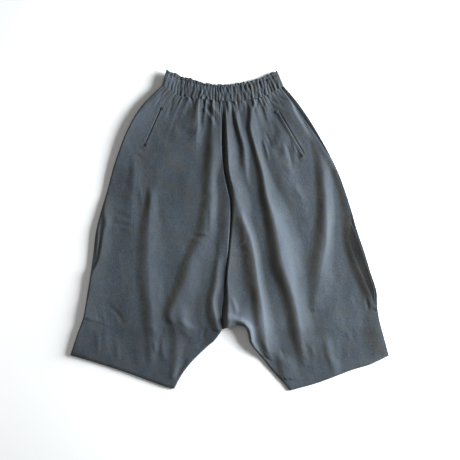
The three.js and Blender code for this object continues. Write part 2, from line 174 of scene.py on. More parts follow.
# The crotch of the right leg and the left side stand up a little
CROTCH_LIFT = {"x": 44.0, "y": -266.0, "height": 13.0, "reach": 44.0}
LIFT_CLEARANCE = 0.16
LIP_PLACES = (0.03, 0.1, 0.165, 0.24, 0.32, 0.46, 0.6)
LIP_CREST = (26.0, 24.0, 13.0, 7.0, 6.0, 3.0, 2.0)
LIP_HEIGHT = (0.0, 5.0, 8.0, 7.0, 6.0, 4.0, 0.0)
LIP_REACH = 8.0
SIDE_LIFT = 11.0
SIDE_LIFT_REACH = 58.0
SIDE_LEVEL_REACH = 150.0
# The left side's lift eases down to a share of itself and then ends: place from the waist, width
SIDE_LIFT_LOWER = 0.3
SIDE_LIFT_EASES = (0.45, 0.35)
SIDE_LIFT_ENDS = (0.9, 0.3)

# The line of stitches above the hem: its lip and the trough that it draws
TACK_LIP = 2.2
TACK_LIP_REACH = 16.0
TACK_LIP_RISE = 1.2
TACK_TROUGH = 0.9
TACK_TROUGH_WIDTH = 2.2

# Painted highlight: crests that stand this far above the underside are lightened, over a height, and the
# rest is lightened evenly by a share
HIGHLIGHT_FROM = 9.0
HIGHLIGHT_OVER = 8.0
EVEN_LIGHTENING = 0.18

# Rows of every panel: the centre seam takes the first share, the inseam the rest
CROTCH_SHARE = 18 / 27
SIDE_SHARE_AT_CROTCH = 0.63

# Finish: each tone as a share of the cloth's own colour, channel by channel; two of them are painted light:
# a highlight on crests and a brown shade on slopes that face away from the key light
DARK_YARN, LIGHT_YARN = (0.72,) * 3, (1.28,) * 3
DARK_THREAD, LIGHT_THREAD = (0.55,) * 3, (0.95,) * 3
GREYED = (1.2, 1.02, 0.83)
# Painted highlight: the lightened colour that high crests take
PAINTED_LIGHT_TONE = (2.3, 2.12, 2.05)
# Painted shade: the brown tint of slopes that face away from the key light
PAINTED_SHADE_TINT = (1.26, 1.05, 0.82, 1)
# The largest share of the painted highlight colour that is mixed in
MOST_PAINTED_LIGHT = 0.82
SHEEN_TINT = (0.82, 0.92, 1.0, 1)

# Stage, in metres
KEY_PLACE = (1.95, 0.40, 0.66)
KEY_HEIGHT = 1.25
KEY_COLOUR = (0.96, 0.985, 1.0)
FILL_PLACE, FILL_SIZE, FILL_COLOUR = (-1.5, -0.1, 0.5), (1.0, 0.6), (1.0, 0.97, 0.93)
TOP_PLACE, TOP_SIZE, TOP_COLOUR = (0.2, 0.1, 2.6), (1.6, 1.6), (1.0, 0.98, 0.95)
WORLD_COLOUR = (1.0, 0.98, 0.95, 1)
FLOOR_COLOURS = (0.82, 0.83, 0.84, 1), (0.84, 0.85, 0.86, 1)
FLOOR_HALF = 6.0
FLOOR_DROP = 0.0002
SENSOR_WIDTH = 36
CAMERA_HEIGHT = 2.6
CAMERA_OFFSET = (0.0007, 0.0011)
PHOTO_WIDTH_MM = 1242.0

# Outlines, each from its first end to its last, as x and y
OUTLINE = {
    "waist_top": [
        (-169.4, 431.5), (-145, 422), (-118, 412), (-91, 405), (-64, 397), (-38, 393.5), (-5, 394),
        (30, 398), (60, 405), (87, 413), (109, 423), (127.5, 430.5),
    ],
    "band_seam": [
        (-181, 390), (-161, 375), (-140, 363), (-107, 357.5), (-67, 353.5), (-25, 349.5), (14, 348.5),
        (55, 353.5), (87, 360), (114, 372), (145, 389),
    ],
    "centre_seam": [
        (-25, 349.5), (-22, 298), (-21, 217), (-11.5, 136), (1.5, 74), (0.5, 10), (-6, -80), (-12.5, -161),
        (-20.5, -215), (-20, -266),
    ],
    "left_side": [
        (-181, 390), (-234, 337), (-272, 276), (-307, 187), (-331.5, 101), (-358, 6), (-370, -85),
        (-384, -175), (-394.5, -236), (-411, -281), (-429.4, -336.5),
    ],
    "right_side": [
        (145, 389), (183, 344), (234, 267), (289.5, 163), (324, 67), (342, 4), (364, -61), (379, -111),
        (396, -165), (398, -207), (408, -261), (429.4, -338),
    ],
    "right_front_side": [
        (137, 384.6), (162.5, 352), (181.5, 325), (220.5, 271), (256, 217), (276, 185), (321.5, 63),
        (325, 20), (320, -10), (328, -53), (345.5, -94), (364, -137), (383, -182), (394, -215),
        (405.5, -255), (428.4, -337.7),
    ],
    "left_inseam": [
        (-20, -266), (-40, -295), (-65, -317), (-100, -351.5), (-119, -374), (-133, -395), (-149.5, -426.5),
    ],
    "right_inseam": [
        (-20, -266), (0, -260), (24, -255), (43, -262), (50, -282), (54, -300), (66, -318), (92, -349),
        (109, -371.5), (146, -412), (161.5, -431.5),
    ],
    "left_hem": [
        (-149.5, -426.5), (-174, -420.5), (-204, -410), (-281, -382), (-368, -354), (-429.4, -336.5),
    ],
    "right_hem": [
        (161.5, -431.5), (241.5, -409.5), (336, -374.5), (378.5, -362), (429.4, -338),
    ],
    "right_pleat": [
        (312, 50), (337, -4), (357, -58), (379, -128), (389, -161), (391.5, -196), (396, -234), (401, -258),
    ],
    "left_pleat": [
        (-345, 30), (-357, -30), (-364, -85), (-377, -175), (-389, -236), (-397, -258),
    ],
}
FRONT_SIDE = {"left": "left_side", "right": "right_front_side"}

# Pocket slits, upper end first; inward points from the slit to its welt
SLITS = {
    "left": {"start": (-183.5, 328), "end": (-227, 230.5), "inward": 1},
    "right": {"start": (131, 320), "end": (200, 203), "inward": -1},
}

# Folds of the front: ridges that run down the cloth. A row is one place on the crest:
# y, x, height, reach of the left flank, reach of the right flank.
FOLDS = {
    "seam_ridge": [
        (342, -12, 3, 9, 14), (285, -6, 9, 12, 18), (217, -1, 12, 15, 28), (157, 3, 12, 14, 36),
        (109, 15, 11, 18, 36), (68, 30, 12, 26, 32), (28, 41, 14, 36, 22), (-12, 57, 13, 46, 16),
        (-66, 70, 13, 48, 15), (-134, 80, 14, 46, 16), (-201, 90, 12, 46, 22), (-269, 97, 10, 34, 34),
        (-323, 105, 6, 27, 30), (-356, 110, 0, 24, 22),
    ],
    "seam_lip": [
        (114, 6, 0, 8, 20), (68, 15, 5, 12, 20), (14, 11, 4, 11, 22), (-53, 6, 5, 12, 27),
        (-134, 0, 8, 12, 34), (-188, 4, 9, 20, 34), (-236, 2, 9, 20, 26), (-268, -2, 6, 18, 18),
    ],
    "wedge_ridge": [
        (352, 7, 3, 5, 9), (320, 13, 6, 8, 22), (271, 30, 8, 16, 15), (222, 43, 8, 19, 12),
        (177, 46, 6, 28, 9), (145, 47, 4, 36, 8), (118, 50, 0, 20, 8),
    ],
    "main_right": [
        (363, 50, 3, 8, 11), (320, 58, 7, 12, 36), (271, 61, 9, 17, 30), (217, 75, 9, 20, 14),
        (158, 92, 10, 24, 17), (96, 105, 14, 30, 36), (28, 125, 17, 40, 50), (-39, 139, 18, 44, 62),
        (-93, 150, 20, 48, 58), (-147, 167, 17, 46, 44), (-201, 181, 14, 44, 36), (-255, 191, 13, 42, 38),
        (-309, 197, 8, 34, 46), (-366, 203, 1, 22, 32),
    ],
    "pocket_ridge": [
        (362, 92, 2, 6, 16), (330, 96, 3, 8, 16), (290, 104, 0, 12, 20),
    ],
    "hip_top": [
        (372, 140, 0, 30, 8), (350, 160, 5, 60, 8), (325, 170, 7, 66, 10), (271, 200, 5, 60, 14),
        (230, 222, 0, 40, 14),
    ],
    "hem_right": [
        (-322, 128, 0, 20, 30), (-350, 140, 4, 22, 40), (-372, 146, 4, 22, 44), (-400, 150, 3, 20, 40),
    ],
    "hem_mid": [
        (-276, 258, 0, 14, 20), (-309, 262, 2.5, 16, 20), (-340, 268, 2.5, 16, 20), (-363, 280, 3, 20, 24),
        (-396, 284, 2, 20, 20),
    ],
    "swirl": [
        (300, 120, 0, 14, 30), (271, 136, 3, 18, 50), (217, 128, 4, 30, 54), (150, 146, 4, 44, 46),
        (82, 176, 3, 40, 40), (30, 190, 0, 30, 36),
    ],
    "hip_right": [
        (292, 206, 1, 11, 20), (239, 230, 3, 16, 30), (195, 245, 5, 24, 28), (131, 255, 8, 28, 26),
        (50, 260, 11, 32, 26), (-26, 259, 12, 46, 26), (-93, 248, 10, 44, 34), (-147, 240, 6, 36, 44),
        (-215, 228, 2, 24, 36),
    ],
    "right_rim": [
        (260, 228, 0, 12, 6), (217, 256, 4, 20, 6), (150, 292, 4, 20, 6), (82, 320, 7, 30, 6),
        (42, 333, 9, 38, 6), (0, 334, 11, 38, 6), (-53, 339, 11, 34, 6), (-93, 352, 11, 34, 6),
        (-147, 374, 11, 34, 6), (-180, 388, 10, 36, 6), (-201, 395, 8, 50, 6), (-255, 412, 9, 66, 6),
        (-309, 428, 11, 76, 6), (-335, 436, 10, 76, 6), (-372, 444, 4, 60, 6),
    ],
    "seam_left": [
        (341, -42, 2, 16, 60), (298, -38, 5, 30, 60), (244, -40, 8, 34, 60), (217, -42, 9, 32, 50),
        (150, -50, 8, 30, 20), (82, -51, 8, 32, 22), (28, -56, 8, 36, 24), (-4, -60, 7, 40, 30),
        (-39, -80, 7, 36, 48), (-85, -102, 8, 36, 58), (-139, -117, 8, 38, 56), (-188, -140, 8, 36, 60),
        (-236, -156, 8, 27, 59), (-269, -143, 5, 25, 43), (-323, -141, 4, 24, 22), (-398, -153, 2, 14, 11),
    ],
    "seam_rise": [
        (190, -14, 0, 26, 8), (150, -10, 3, 28, 8), (96, -2, 4, 30, 8), (15, -2, 5, 34, 8),
        (-53, -6, 4, 34, 8), (-80, -8, 1, 20, 8), (-100, -8, 0, 14, 8),
    ],
    "gather_left": [
        (357, -83, 3, 10, 6), (303, -86, 6, 50, 8), (271, -86, 8, 100, 15), (240, -89, 6, 80, 17),
        (217, -91, 3, 60, 16), (163, -91, 0, 38, 16),
    ],
    "inner_left": [
        (-24, -26, 0, 11, 16), (-60, -27, 2, 14, 19), (-93, -31, 4, 16, 20), (-147, -36, 7, 22, 20),
        (-188, -44, 8, 24, 16), (-228, -39, 8, 30, 14), (-269, -29, 4, 22, 11),
    ],
    "mid_left": [
        (122, -213, 0, 14, 22), (82, -211, 6, 18, 22), (28, -215, 7, 30, 32), (-53, -217, 7, 38, 44),
        (-147, -216, 7.5, 40, 48), (-228, -208, 6.5, 36, 42), (-309, -207, 5, 24, 20),
        (-377, -215, 0, 20, 20),
    ],
    "upper_left": [
        (217, -258, 0, 16, 22), (150, -256, 3, 19, 27), (68, -264, 3, 38, 22), (15, -264, 2, 38, 22),
        (-26, -264, 0, 32, 22),
    ],
    "left_rim": [
        (96, -331, 0, 10, 22), (50, -335, 4, 12, 24), (15, -332, 5, 14, 20), (-4, -338, 5, 10, 24),
        (-20, -340, 5, 9, 28), (-37, -343, 5, 8, 32), (-53, -346, 5, 8, 36), (-69, -349, 5, 8, 40),
        (-91, -356, 4.5, 8, 44), (-112, -368, 5, 8, 50), (-147, -374, 6, 8, 56), (-201, -384, 7, 8, 66),
        (-250, -399, 6, 8, 90), (-300, -415, 6, 8, 130), (-340, -428, 5, 8, 140), (-400, -430, 0, 8, 140),
    ],
    "knee_bump": [
        (-196, -122, 0, 27, 30), (-232, -122, 5, 28, 36), (-262, -116, 6, 28, 34), (-306, -102, 0, 27, 24),
    ],
}
FOLD_Y, FOLD_X, FOLD_HEIGHT, FOLD_LEFT, FOLD_RIGHT = range(5)
# Folds that stop at the centre seam belong to the left leg alone
LEFT_FOLDS = ("seam_rise", "seam_left")

# How far a fold's crest leans over its left flank, for each unit of its height
LEANS = {"seam_ridge": 0.28, "seam_lip": 0.7, "main_right": 0.3, "wedge_ridge": 0.4}

# How sharply a fold falls just right of its crest, at places down it: zero is a half cosine
SHARPNESS = {
    "seam_ridge": [
        (-323, 0.8), (-60, 0.9), (30, 0.8), (60, 0.1), (109, 0.0), (140, 0.7), (342, 0.8),
    ],
    "main_right": [
        (-372, 0.6), (-200, 0.7), (-147, 0.45), (-93, 0.3), (-20, 0.3), (28, 0.6), (96, 0.8), (290, 0.8),
        (312, 0.15), (363, 0.2),
    ],
    "seam_lip": [(0, 0.7)],
    "wedge_ridge": [(0, 0.8)],
    "hip_right": [(0, 0.3)],
    "mid_left": [(0, 0.5)],
    "upper_left": [(0, 0.6)],
    "seam_left": [(0, 0.0)],
    "left_rim": [(0, 0.4)],
    "inner_left": [(0, 0.5)],
    "gather_left": [(0, 0.5)],
    "knee_bump": [(0, 0.2)],
}

# Short creases of the front: two ends, height (negative is a trough),
# half width and how far the middle bows to the left of the way from first end to last
CREASES = {
    "left": [
        (-318, 50, -267, 31, -0.9, 5, 3), (-310, 17, -258, 9, -1.1, 4, 2),
        (-302, -2, -269, -10, -0.8, 4, 2), (-306, 26, -262, 20, 0.8, 5, 2),
        (-102, -15, -56, -18, -1.5, 4, 2), (-102, -26, -69, -34, 1.2, 4, 2), (-96, -8, -60, -9, 0.9, 4, 1),
        (-203, -296, -200, -330, 1.6, 4, 0), (-253, 212, -234, 203, 0.9, 3, 1),
        (-248, 222, -228, 212, -0.9, 3, 1), (-258, 204, -240, 196, -0.7, 3, 1),
        (-358, -220, -353, -240, -0.9, 3, 1), (-351, 14, -360, -84, 1.8, 3.5, 0),
        (-360, -262, -354, -330, 1.0, 6, 2), (-310, -284, -302, -352, 0.8, 7, 2),
        (-341, -224, -336, -246, 0.9, 4, 1), (-324, -205, -286, -253, -1.4, 6, 5),
        (-134, -240, -86, -268, 1.6, 7, -3), (-175, -236, -146, -258, -1.7, 7, -4),
        (-72, -292, -64, -262, -1.6, 5, 2), (-84, -318, -62, -290, -1.8, 7, 2),
        (-118, -344, -148, -399, -2.0, 7, 2), (-153, 357, -167, 303, -1.4, 5, 2),
        (-180, 372, -200, 330, -0.9, 2.5, 1), (-145, 276, -91, 266, -2.2, 13, -7),
        (-214, 217, -96, 222, 1.5, 14, 6), (-67, 341, -32, 279, -1.8, 4, 3),
        (-58, 345, -24, 300, 1.7, 4, 2), (-76, 336, -44, 284, 1.6, 4, 3), (-115, 372, -107, 342, 2.0, 4, 1),
        (-105, 372, -100, 330, -2.2, 4, 1), (-246, 120, -238, 70, 1.2, 7, 2),
        (-196, -120, -190, -200, 0.8, 9, 3), (-62, 60, -60, -10, -0.8, 6, 2),
        (-300, -60, -292, -180, 0.7, 12, 5), (-214, -260, -206, -345, -1.2, 8, 3),
        (-181, -282, -176, -352, 1.3, 7, -2), (-337, -250, -333, -330, 0.6, 9, 2),
        (-250, -300, -240, -385, 0.6, 10, -3),
    ],
    "right": [
        (58, -150, 66, -262, -2.6, 12, 0), (6, -244, 40, -248, -2.4, 7, -3),
        (152, 231, 168, 168, -1.7, 5, 3), (173, 212, 190, 184, -0.9, 4, 1), (182, 216, 200, 190, 0.6, 4, 1),
        (88, 246, 104, 190, 1.8, 4, 2), (96, 262, 112, 226, -1.5, 4, 1), (166, 246, 178, 196, 1.5, 5, 2),
        (141, 236, 150, 190, 1.3, 6, 2), (20, -46, 47, -23, 1.6, 3, 1), (8, -48, 50, -50, -1.3, 3, -2),
        (10, -58, 44, -62, 0.8, 4, 1), (24, 2, 50, 12, -1.2, 5, 2), (6, -223, 28, -231, -1.6, 3, -1),
        (9, -180, 20, -222, 2.4, 4, 2), (30, -240, 52, -270, 1.2, 3, 2), (60, -309, 87, -336, 1.8, 4, -2),
        (87, -332, 114, -352, -1.8, 4, -2), (84, -344, 106, -366, 1.1, 4, -1),
        (136, -317, 147, -345, -1.3, 4, 1), (219, -309, 228, -340, 1.2, 5, 1),
        (203, -300, 214, -352, -1.2, 5, 2), (368, -186, 373, -214, -2.0, 4, 0),
        (312, -268, 324, -296, 0.8, 6, 1), (330, -172, 342, -204, -0.8, 6, 1),
        (176, 130, 196, 84, 1.3, 8, -4), (148, 176, 168, 150, 1.0, 7, 3), (116, 222, 132, 196, -1.6, 10, 6),
        (12, 345, 18, 318, -2.0, 3.5, 1), (22, 346, 27, 316, 1.8, 3.5, 1), (34, 344, 38, 322, -1.4, 3, 1),
        (66, 350, 60, 322, 1.8, 4, 2), (76, 354, 66, 326, -1.5, 4, 2), (108, 358, 130, 340, -1.4, 4, -2),
        (114, 350, 150, 322, 1.2, 5, -3), (126, 366, 152, 350, -1.1, 4, -2),
        (262, -296, 270, -360, 0.7, 10, 3), (196, 120, 206, 20, 0.8, 12, -4),
        (232, 40, 236, -60, -0.7, 12, 3), (92, -296, 104, -330, 1.2, 6, 2),
        (178, -60, 190, -130, 0.9, 9, 2),
    ],
}

# The line of stitches that holds each side pleat above the hem: its two ends
TACKS = {"left": ((-388.0, -237.0), (-314.0, -264.0)), "right": ((394.0, -216.0), (376.0, -206.0))}


def settings(context):
    """The sizes and colours in the sidebar."""
    return context.scene.harem_pants


def roll(distance, width):
    """A quarter round: zero at the edge, one from the given width inwards."""
    t = np.clip(distance / width, 0, 1)
    return np.sqrt(1 - (1 - t) ** 2)


def bell(distance, width):
    """A bell curve: one in the middle, falling off with the square of distance over width."""
    return np.exp(-((distance / width) ** 2))


def mix(a, b, t):
    """From a at t zero to b at t one, in a straight line."""
    return a + (b - a) * t


def ramp(value, start, width):
    """Zero up to the start, one from a width beyond it, and a straight line between."""
    return np.clip((value - start) / width, 0, 1)


def falling(value, end, width):
    """One up to a width short of the end, zero from the end on, and a straight line between."""
    return np.clip((end - value) / width, 0, 1)


def smooth(t):
    """The smooth step from zero to one: three squares less two cubes."""
    return t * t * (3 - 2 * t)


def hermite(t, start, end, start_slope, end_slope):
    """The cubic that runs from start to end with the slopes given, at t from zero to one."""
    return (
        (2 * t**3 - 3 * t**2 + 1) * start
        + (t**3 - 2 * t**2 + t) * start_slope
        + (3 * t**2 - 2 * t**3) * end
        + (t**3 - t**2) * end_slope
    )


def path_at(points, shares):
    """Places on a smooth path through the points, at shares of its length.

    The path is a centripetal Catmull-Rom spline: each stretch is a cubic whose end slopes
    come from the points around it, spaced by the square root of their distance.
    """
    p = np.array(points, float)
    p = np.vstack([2 * p[0] - p[1], p, 2 * p[-1] - p[-2]])
    gap = np.sqrt(np.linalg.norm(np.diff(p, axis=0), axis=1))[:, None]
    p0, p1, p2, p3 = p[:-3], p[1:-2], p[2:-1], p[3:]
    g0, g1, g2 = gap[:-2], gap[1:-1], gap[2:]
    leaving = ((p1 - p0) / g0 - (p2 - p0) / (g0 + g1) + (p2 - p1) / g1) * g1
    arriving = ((p2 - p1) / g1 - (p3 - p1) / (g1 + g2) + (p3 - p2) / g2) * g1
    t = np.linspace(0, 1, PATH_STEPS, endpoint=False)[None, :, None]
    cubic = hermite(t, *(part[:, None] for part in (p1, p2, leaving, arriving)))
    walk = np.vstack([cubic.reshape(-1, 2), p[-2]])
    length = np.concatenate([[0], np.cumsum(np.linalg.norm(np.diff(walk, axis=0), axis=1))])
    goal = np.clip(shares, 0, 1) * length[-1]
    return np.interp(goal, length, walk[:, 0]), np.interp(goal, length, walk[:, 1])


def path_length(points):
    """Length of the smooth path through the points."""
    x, y = path_at(points, np.linspace(0, 1, 400))
    return float(np.hypot(np.diff(x), np.diff(y)).sum())


def crossing(points, y):
    """Where a path that runs down crosses each height y."""
    path_x, path_y = path_at(points, np.linspace(0, 1, 600))
    return np.interp(-y, -path_y, path_x)


def line_frame(line, x, y):
    """Where places lie by a straight line: the share of its length that they stand at, and how
    far they are to its left."""
    (x0, y0), (x1, y1) = line
    length = np.hypot(x1 - x0, y1 - y0)
    way_x, way_y = (x1 - x0) / length, (y1 - y0) / length
    return ((x - x0) * way_x + (y - y0) * way_y) / length, (y - y0) * way_x - (x - x0) * way_y


def stations(count, peaks):
    """Shares from zero to one, closer together round each peak.

    Their density is one plus a bell for each peak (place, width, weight), added up from
    zero and read back at even steps.
    """
    s = np.linspace(0, 1, 4001)
    density = 1 + sum(weight * bell(s - place, width) for place, width, weight in peaks)
    total = np.concatenate([[0], np.cumsum((density[1:] + density[:-1]) / 2)])
    return np.interp(np.linspace(0, total[-1], count + 1), total, s)


def along(rows, column, y):
    """One column of a fold's table at height y, on a Catmull-Rom spline through its rows."""
    table = np.array(rows, float)
    places, values = -table[:, FOLD_Y], table[:, column]
    slope = np.gradient(values, places)
    k = np.clip(np.searchsorted(places, -y) - 1, 0, len(places) - 2)
    step = places[k + 1] - places[k]
    t = np.clip((-y - places[k]) / step, 0, 1)
    return hermite(t, values[k], values[k + 1], slope[k] * step, slope[k + 1] * step)


def fold_height(name, x, y):
    """Height that one fold adds.

    The left flank is half a cosine. The right one is mixed with a power of the way left to
    go, which is steepest at the crest.
    """
    rows = FOLDS[name]
    places, values = np.array(SHARPNESS.get(name, [(0, 0.0)])).T
    sharpness = np.interp(y, places, values)
    offset = x - along(rows, FOLD_X, y)
    flank = np.where(offset < 0, along(rows, FOLD_LEFT, y), along(rows, FOLD_RIGHT, y))
    t = np.minimum(np.abs(offset) / np.maximum(flank, 1), 1)
    round_flank = 0.5 * (1 + np.cos(np.pi * t))
    flank_shape = np.where(offset < 0, round_flank, mix(round_flank, (1 - t) ** 1.8, sharpness))
    height = np.maximum(along(rows, FOLD_HEIGHT, y), 0) * flank_shape
    return np.where((y > rows[0][FOLD_Y]) | (y < rows[-1][FOLD_Y]), 0, height)


def crease_height(table, x, y):
    """Height that the short creases add.

    Each is a bell across its line, which bows to one side as a parabola and fades towards
    both ends as the root of a sine.
    """
    total = np.zeros_like(x)
    for x0, y0, x1, y1, height, width, bow in table:
        share, left_of = line_frame(((x0, y0), (x1, y1)), x, y)
        inside = np.clip(share, 0, 1)
        across = left_of - bow * 4 * inside * (1 - inside)
        total += height * np.sqrt(np.sin(np.pi * inside)) * bell(across, width)
    return total


def gather_phase(place, count):
    """Phase of the gathers, drifting so that no two are alike."""
    drift = 0.35 * np.sin(7.3 * place + 0.6) + 0.22 * np.sin(17.1 * place + 2.1)
    return 2 * np.pi * (count * place + drift)


def gather_wave(place, count):
    """Uneven gathers: the sine of their phase, with a slow change of strength."""
    return np.sin(gather_phase(place, count)) * (0.78 + 0.22 * np.sin(11.7 * place))


def sharp_wave(phase):
    """Gathers with round ridges and narrow valleys: a root of the size of a cosine."""
    return 2 * np.abs(np.cos((phase - np.pi / 2) / 2)) ** 0.7 - 1


def soft_noise(x, y, size_x, size_y, seed):
    """Smooth random height from minus one to one.

    Random values on a lattice of cells, blended between a cell's corners with a smooth
    step each way.
    """
    cells = 128
    lattice = np.random.default_rng(seed).uniform(-1, 1, (cells, cells))
    across, down = x / size_x + cells / 2, y / size_y + cells / 2
    column, row = np.floor(across).astype(int), np.floor(down).astype(int)
    tx, ty = smooth(across - column), smooth(down - row)

    def value(i, j):
        return lattice[(column + i) % cells, (row + j) % cells]

    return mix(mix(value(0, 0), value(1, 0), tx), mix(value(0, 1), value(1, 1), tx), ty)


def lift_at(x, y):
    """The crotch of the right leg stands up in a round bell."""
    reach = CROTCH_LIFT["reach"]
    square = (x - CROTCH_LIFT["x"]) ** 2 + (y - CROTCH_LIFT["y"]) ** 2
    return CROTCH_LIFT["height"] * np.exp(-square / (2 * reach * reach))


def side_lift(leg, to_side, v, reach):
    """The fold down the left side stands up off the floor: a square of the way left to the
    side, fading out above the hem."""
    if leg == "right":
        return np.zeros_like(to_side)
    stretch = mix(SIDE_LIFT_LOWER, 1, falling(v, *SIDE_LIFT_EASES)) * falling(v, *SIDE_LIFT_ENDS)
    return SIDE_LIFT * np.clip(1 - to_side / reach, 0, 1) ** 2 * smooth(stretch)


def inseam_curl(leg, x, y):
    """The cloth beside the crotch of the right leg stands up in a lip.

    It rises from the inseam to a crest as a quarter sine and falls off beyond it as a bell.
    The way from inseam to crest follows a short table along the inseam.
    """
    if leg == "left":
        return np.zeros_like(x)
    shares = np.linspace(0, 1, 160)
    path_x, path_y = path_at(OUTLINE["right_inseam"], shares)
    square = (x[..., None] - path_x) ** 2 + (y[..., None] - path_y) ** 2
    share = shares[square.argmin(axis=-1)]
    away = np.sqrt(square.min(axis=-1))
    crest = np.interp(share, LIP_PLACES, LIP_CREST)
    height = np.interp(share, LIP_PLACES, LIP_HEIGHT)
    rising = np.sin(np.pi / 2 * np.clip(away / crest, 0, 1))
    return height * np.where(away < crest, rising, bell(away - crest, LIP_REACH))


def panel_place(leg, side, u, v):
    """Places on a leg's panel: x, y and the ways to its inner and outer side.

    u runs from the inner side to the outer and v from waist to hem. Each row is a straight
    line between the two sides, bent by the bow of the waist edge near the top and by the
    bow of the hem near the bottom, which is a Coons patch.
    """
    down_leg = (v - CROTCH_SHARE) / (1 - CROTCH_SHARE)
    seam_x, seam_y = path_at(OUTLINE["centre_seam"], v / CROTCH_SHARE)
    leg_x, leg_y = path_at(OUTLINE[f"{leg}_inseam"], down_leg)
    above = v <= CROTCH_SHARE
    inner_x, inner_y = np.where(above, seam_x, leg_x), np.where(above, seam_y, leg_y)
    above_share = SIDE_SHARE_AT_CROTCH * v / CROTCH_SHARE
    share = np.where(above, above_share, mix(SIDE_SHARE_AT_CROTCH, 1, down_leg))
    outer_x, outer_y = path_at(OUTLINE[side], share)

    shares = np.linspace(0, 1, 2001)
    band_x = path_at(OUTLINE["band_seam"], shares)[0]
    split = np.interp(OUTLINE["centre_seam"][0][0], band_x, shares)
    far_end = 0.0 if leg == "left" else 1.0

    def top(s):
        return path_at(OUTLINE["band_seam"], mix(split, far_end, s))

    def hem(s):
        return path_at(OUTLINE[f"{leg}_hem"], s)

    x, y = mix(inner_x, outer_x, u), mix(inner_y, outer_y, u)
    for edge, weight in ((top, 1 - v), (hem, v)):
        edge_x, edge_y = edge(u)
        (start_x, end_x), (start_y, end_y) = edge(np.array([0.0, 1.0]))
        x = x + weight * (edge_x - mix(start_x, end_x, u))
        y = y + weight * (edge_y - mix(start_y, end_y, u))
    width = np.hypot(outer_x - inner_x, outer_y - inner_y)
    return x, y, u * width, (1 - u) * width


def find_uv(leg, side, x, y):
    """The u and v of places on a panel: the nearest point of a coarse grid, then Newton's
    steps with slopes measured over a small move."""
    grid_u, grid_v = np.meshgrid(np.linspace(0, 1, 60), np.linspace(0, 1, 80))
    grid_x, grid_y, _, _ = panel_place(leg, side, grid_u, grid_v)
    square = (grid_x.ravel()[None] - x[:, None]) ** 2 + (grid_y.ravel()[None] - y[:, None]) ** 2
    near = np.argmin(square, axis=1)
    u, v = grid_u.ravel()[near], grid_v.ravel()[near]
    step = 1e-3
    for _ in range(5):
        here_x, here_y, _, _ = panel_place(leg, side, u, v)
        u_x, u_y, _, _ = panel_place(leg, side, u + step, v)
        v_x, v_y, _, _ = panel_place(leg, side, u, v + step)
        a, b = (u_x - here_x) / step, (v_x - here_x) / step
        c, d = (u_y - here_y) / step, (v_y - here_y) / step
        determinant = a * d - b * c
        u = u + (d * (x - here_x) - b * (y - here_y)) / determinant
        v = v + (a * (y - here_y) - c * (x - here_x)) / determinant
    return np.clip(u, 0, 1), np.clip(v, 0, 1)


def edge_low(y):
    """Underside of the front's edge: one layer higher where the side pleat lies under it."""
    top, end, fade = 40, -262, 25
    share = falling(y, top + fade, fade) * ramp(y, end - fade, fade)
    return mix(FRONT_EDGE_LOW, PLEAT_EDGE_LOW, share)


def tack_height(leg, x, y):
    """The lip above a pleat's line of stitches: the cloth swells just above the line and is
    drawn down on it."""
    (x0, _), (x1, _) = TACKS[leg]
    share, left_of = line_frame(TACKS[leg], x, y)
    above = left_of * np.sign(x1 - x0)
    fade = np.clip(1.15 - share, 0, 1) * np.clip(share + 1, 0, 1)
    swell = np.exp(-above / TACK_LIP_REACH) * (1 - np.exp(-above / TACK_LIP_RISE))
    lip = np.where(above > 0, swell, 0)
    return fade * (TACK_LIP * lip - TACK_TROUGH * bell(above, TACK_TROUGH_WIDTH))


def slit_height(leg, x, y):
    """The pocket slit: a narrow trough along its line, and the far lip a little proud."""
    share, left_of = line_frame((SLITS[leg]["start"], SLITS[leg]["end"]), x, y)
    outward = -SLITS[leg]["inward"] * left_of
    inside = np.clip(np.minimum(share, 1 - share) * 14 + 0.2, 0, 1)
    shapes = [height * bell(outward - place, width) for height, place, width in (SLIT_TROUGH, SLIT_LIP)]
    return inside * (shapes[0] + shapes[1])


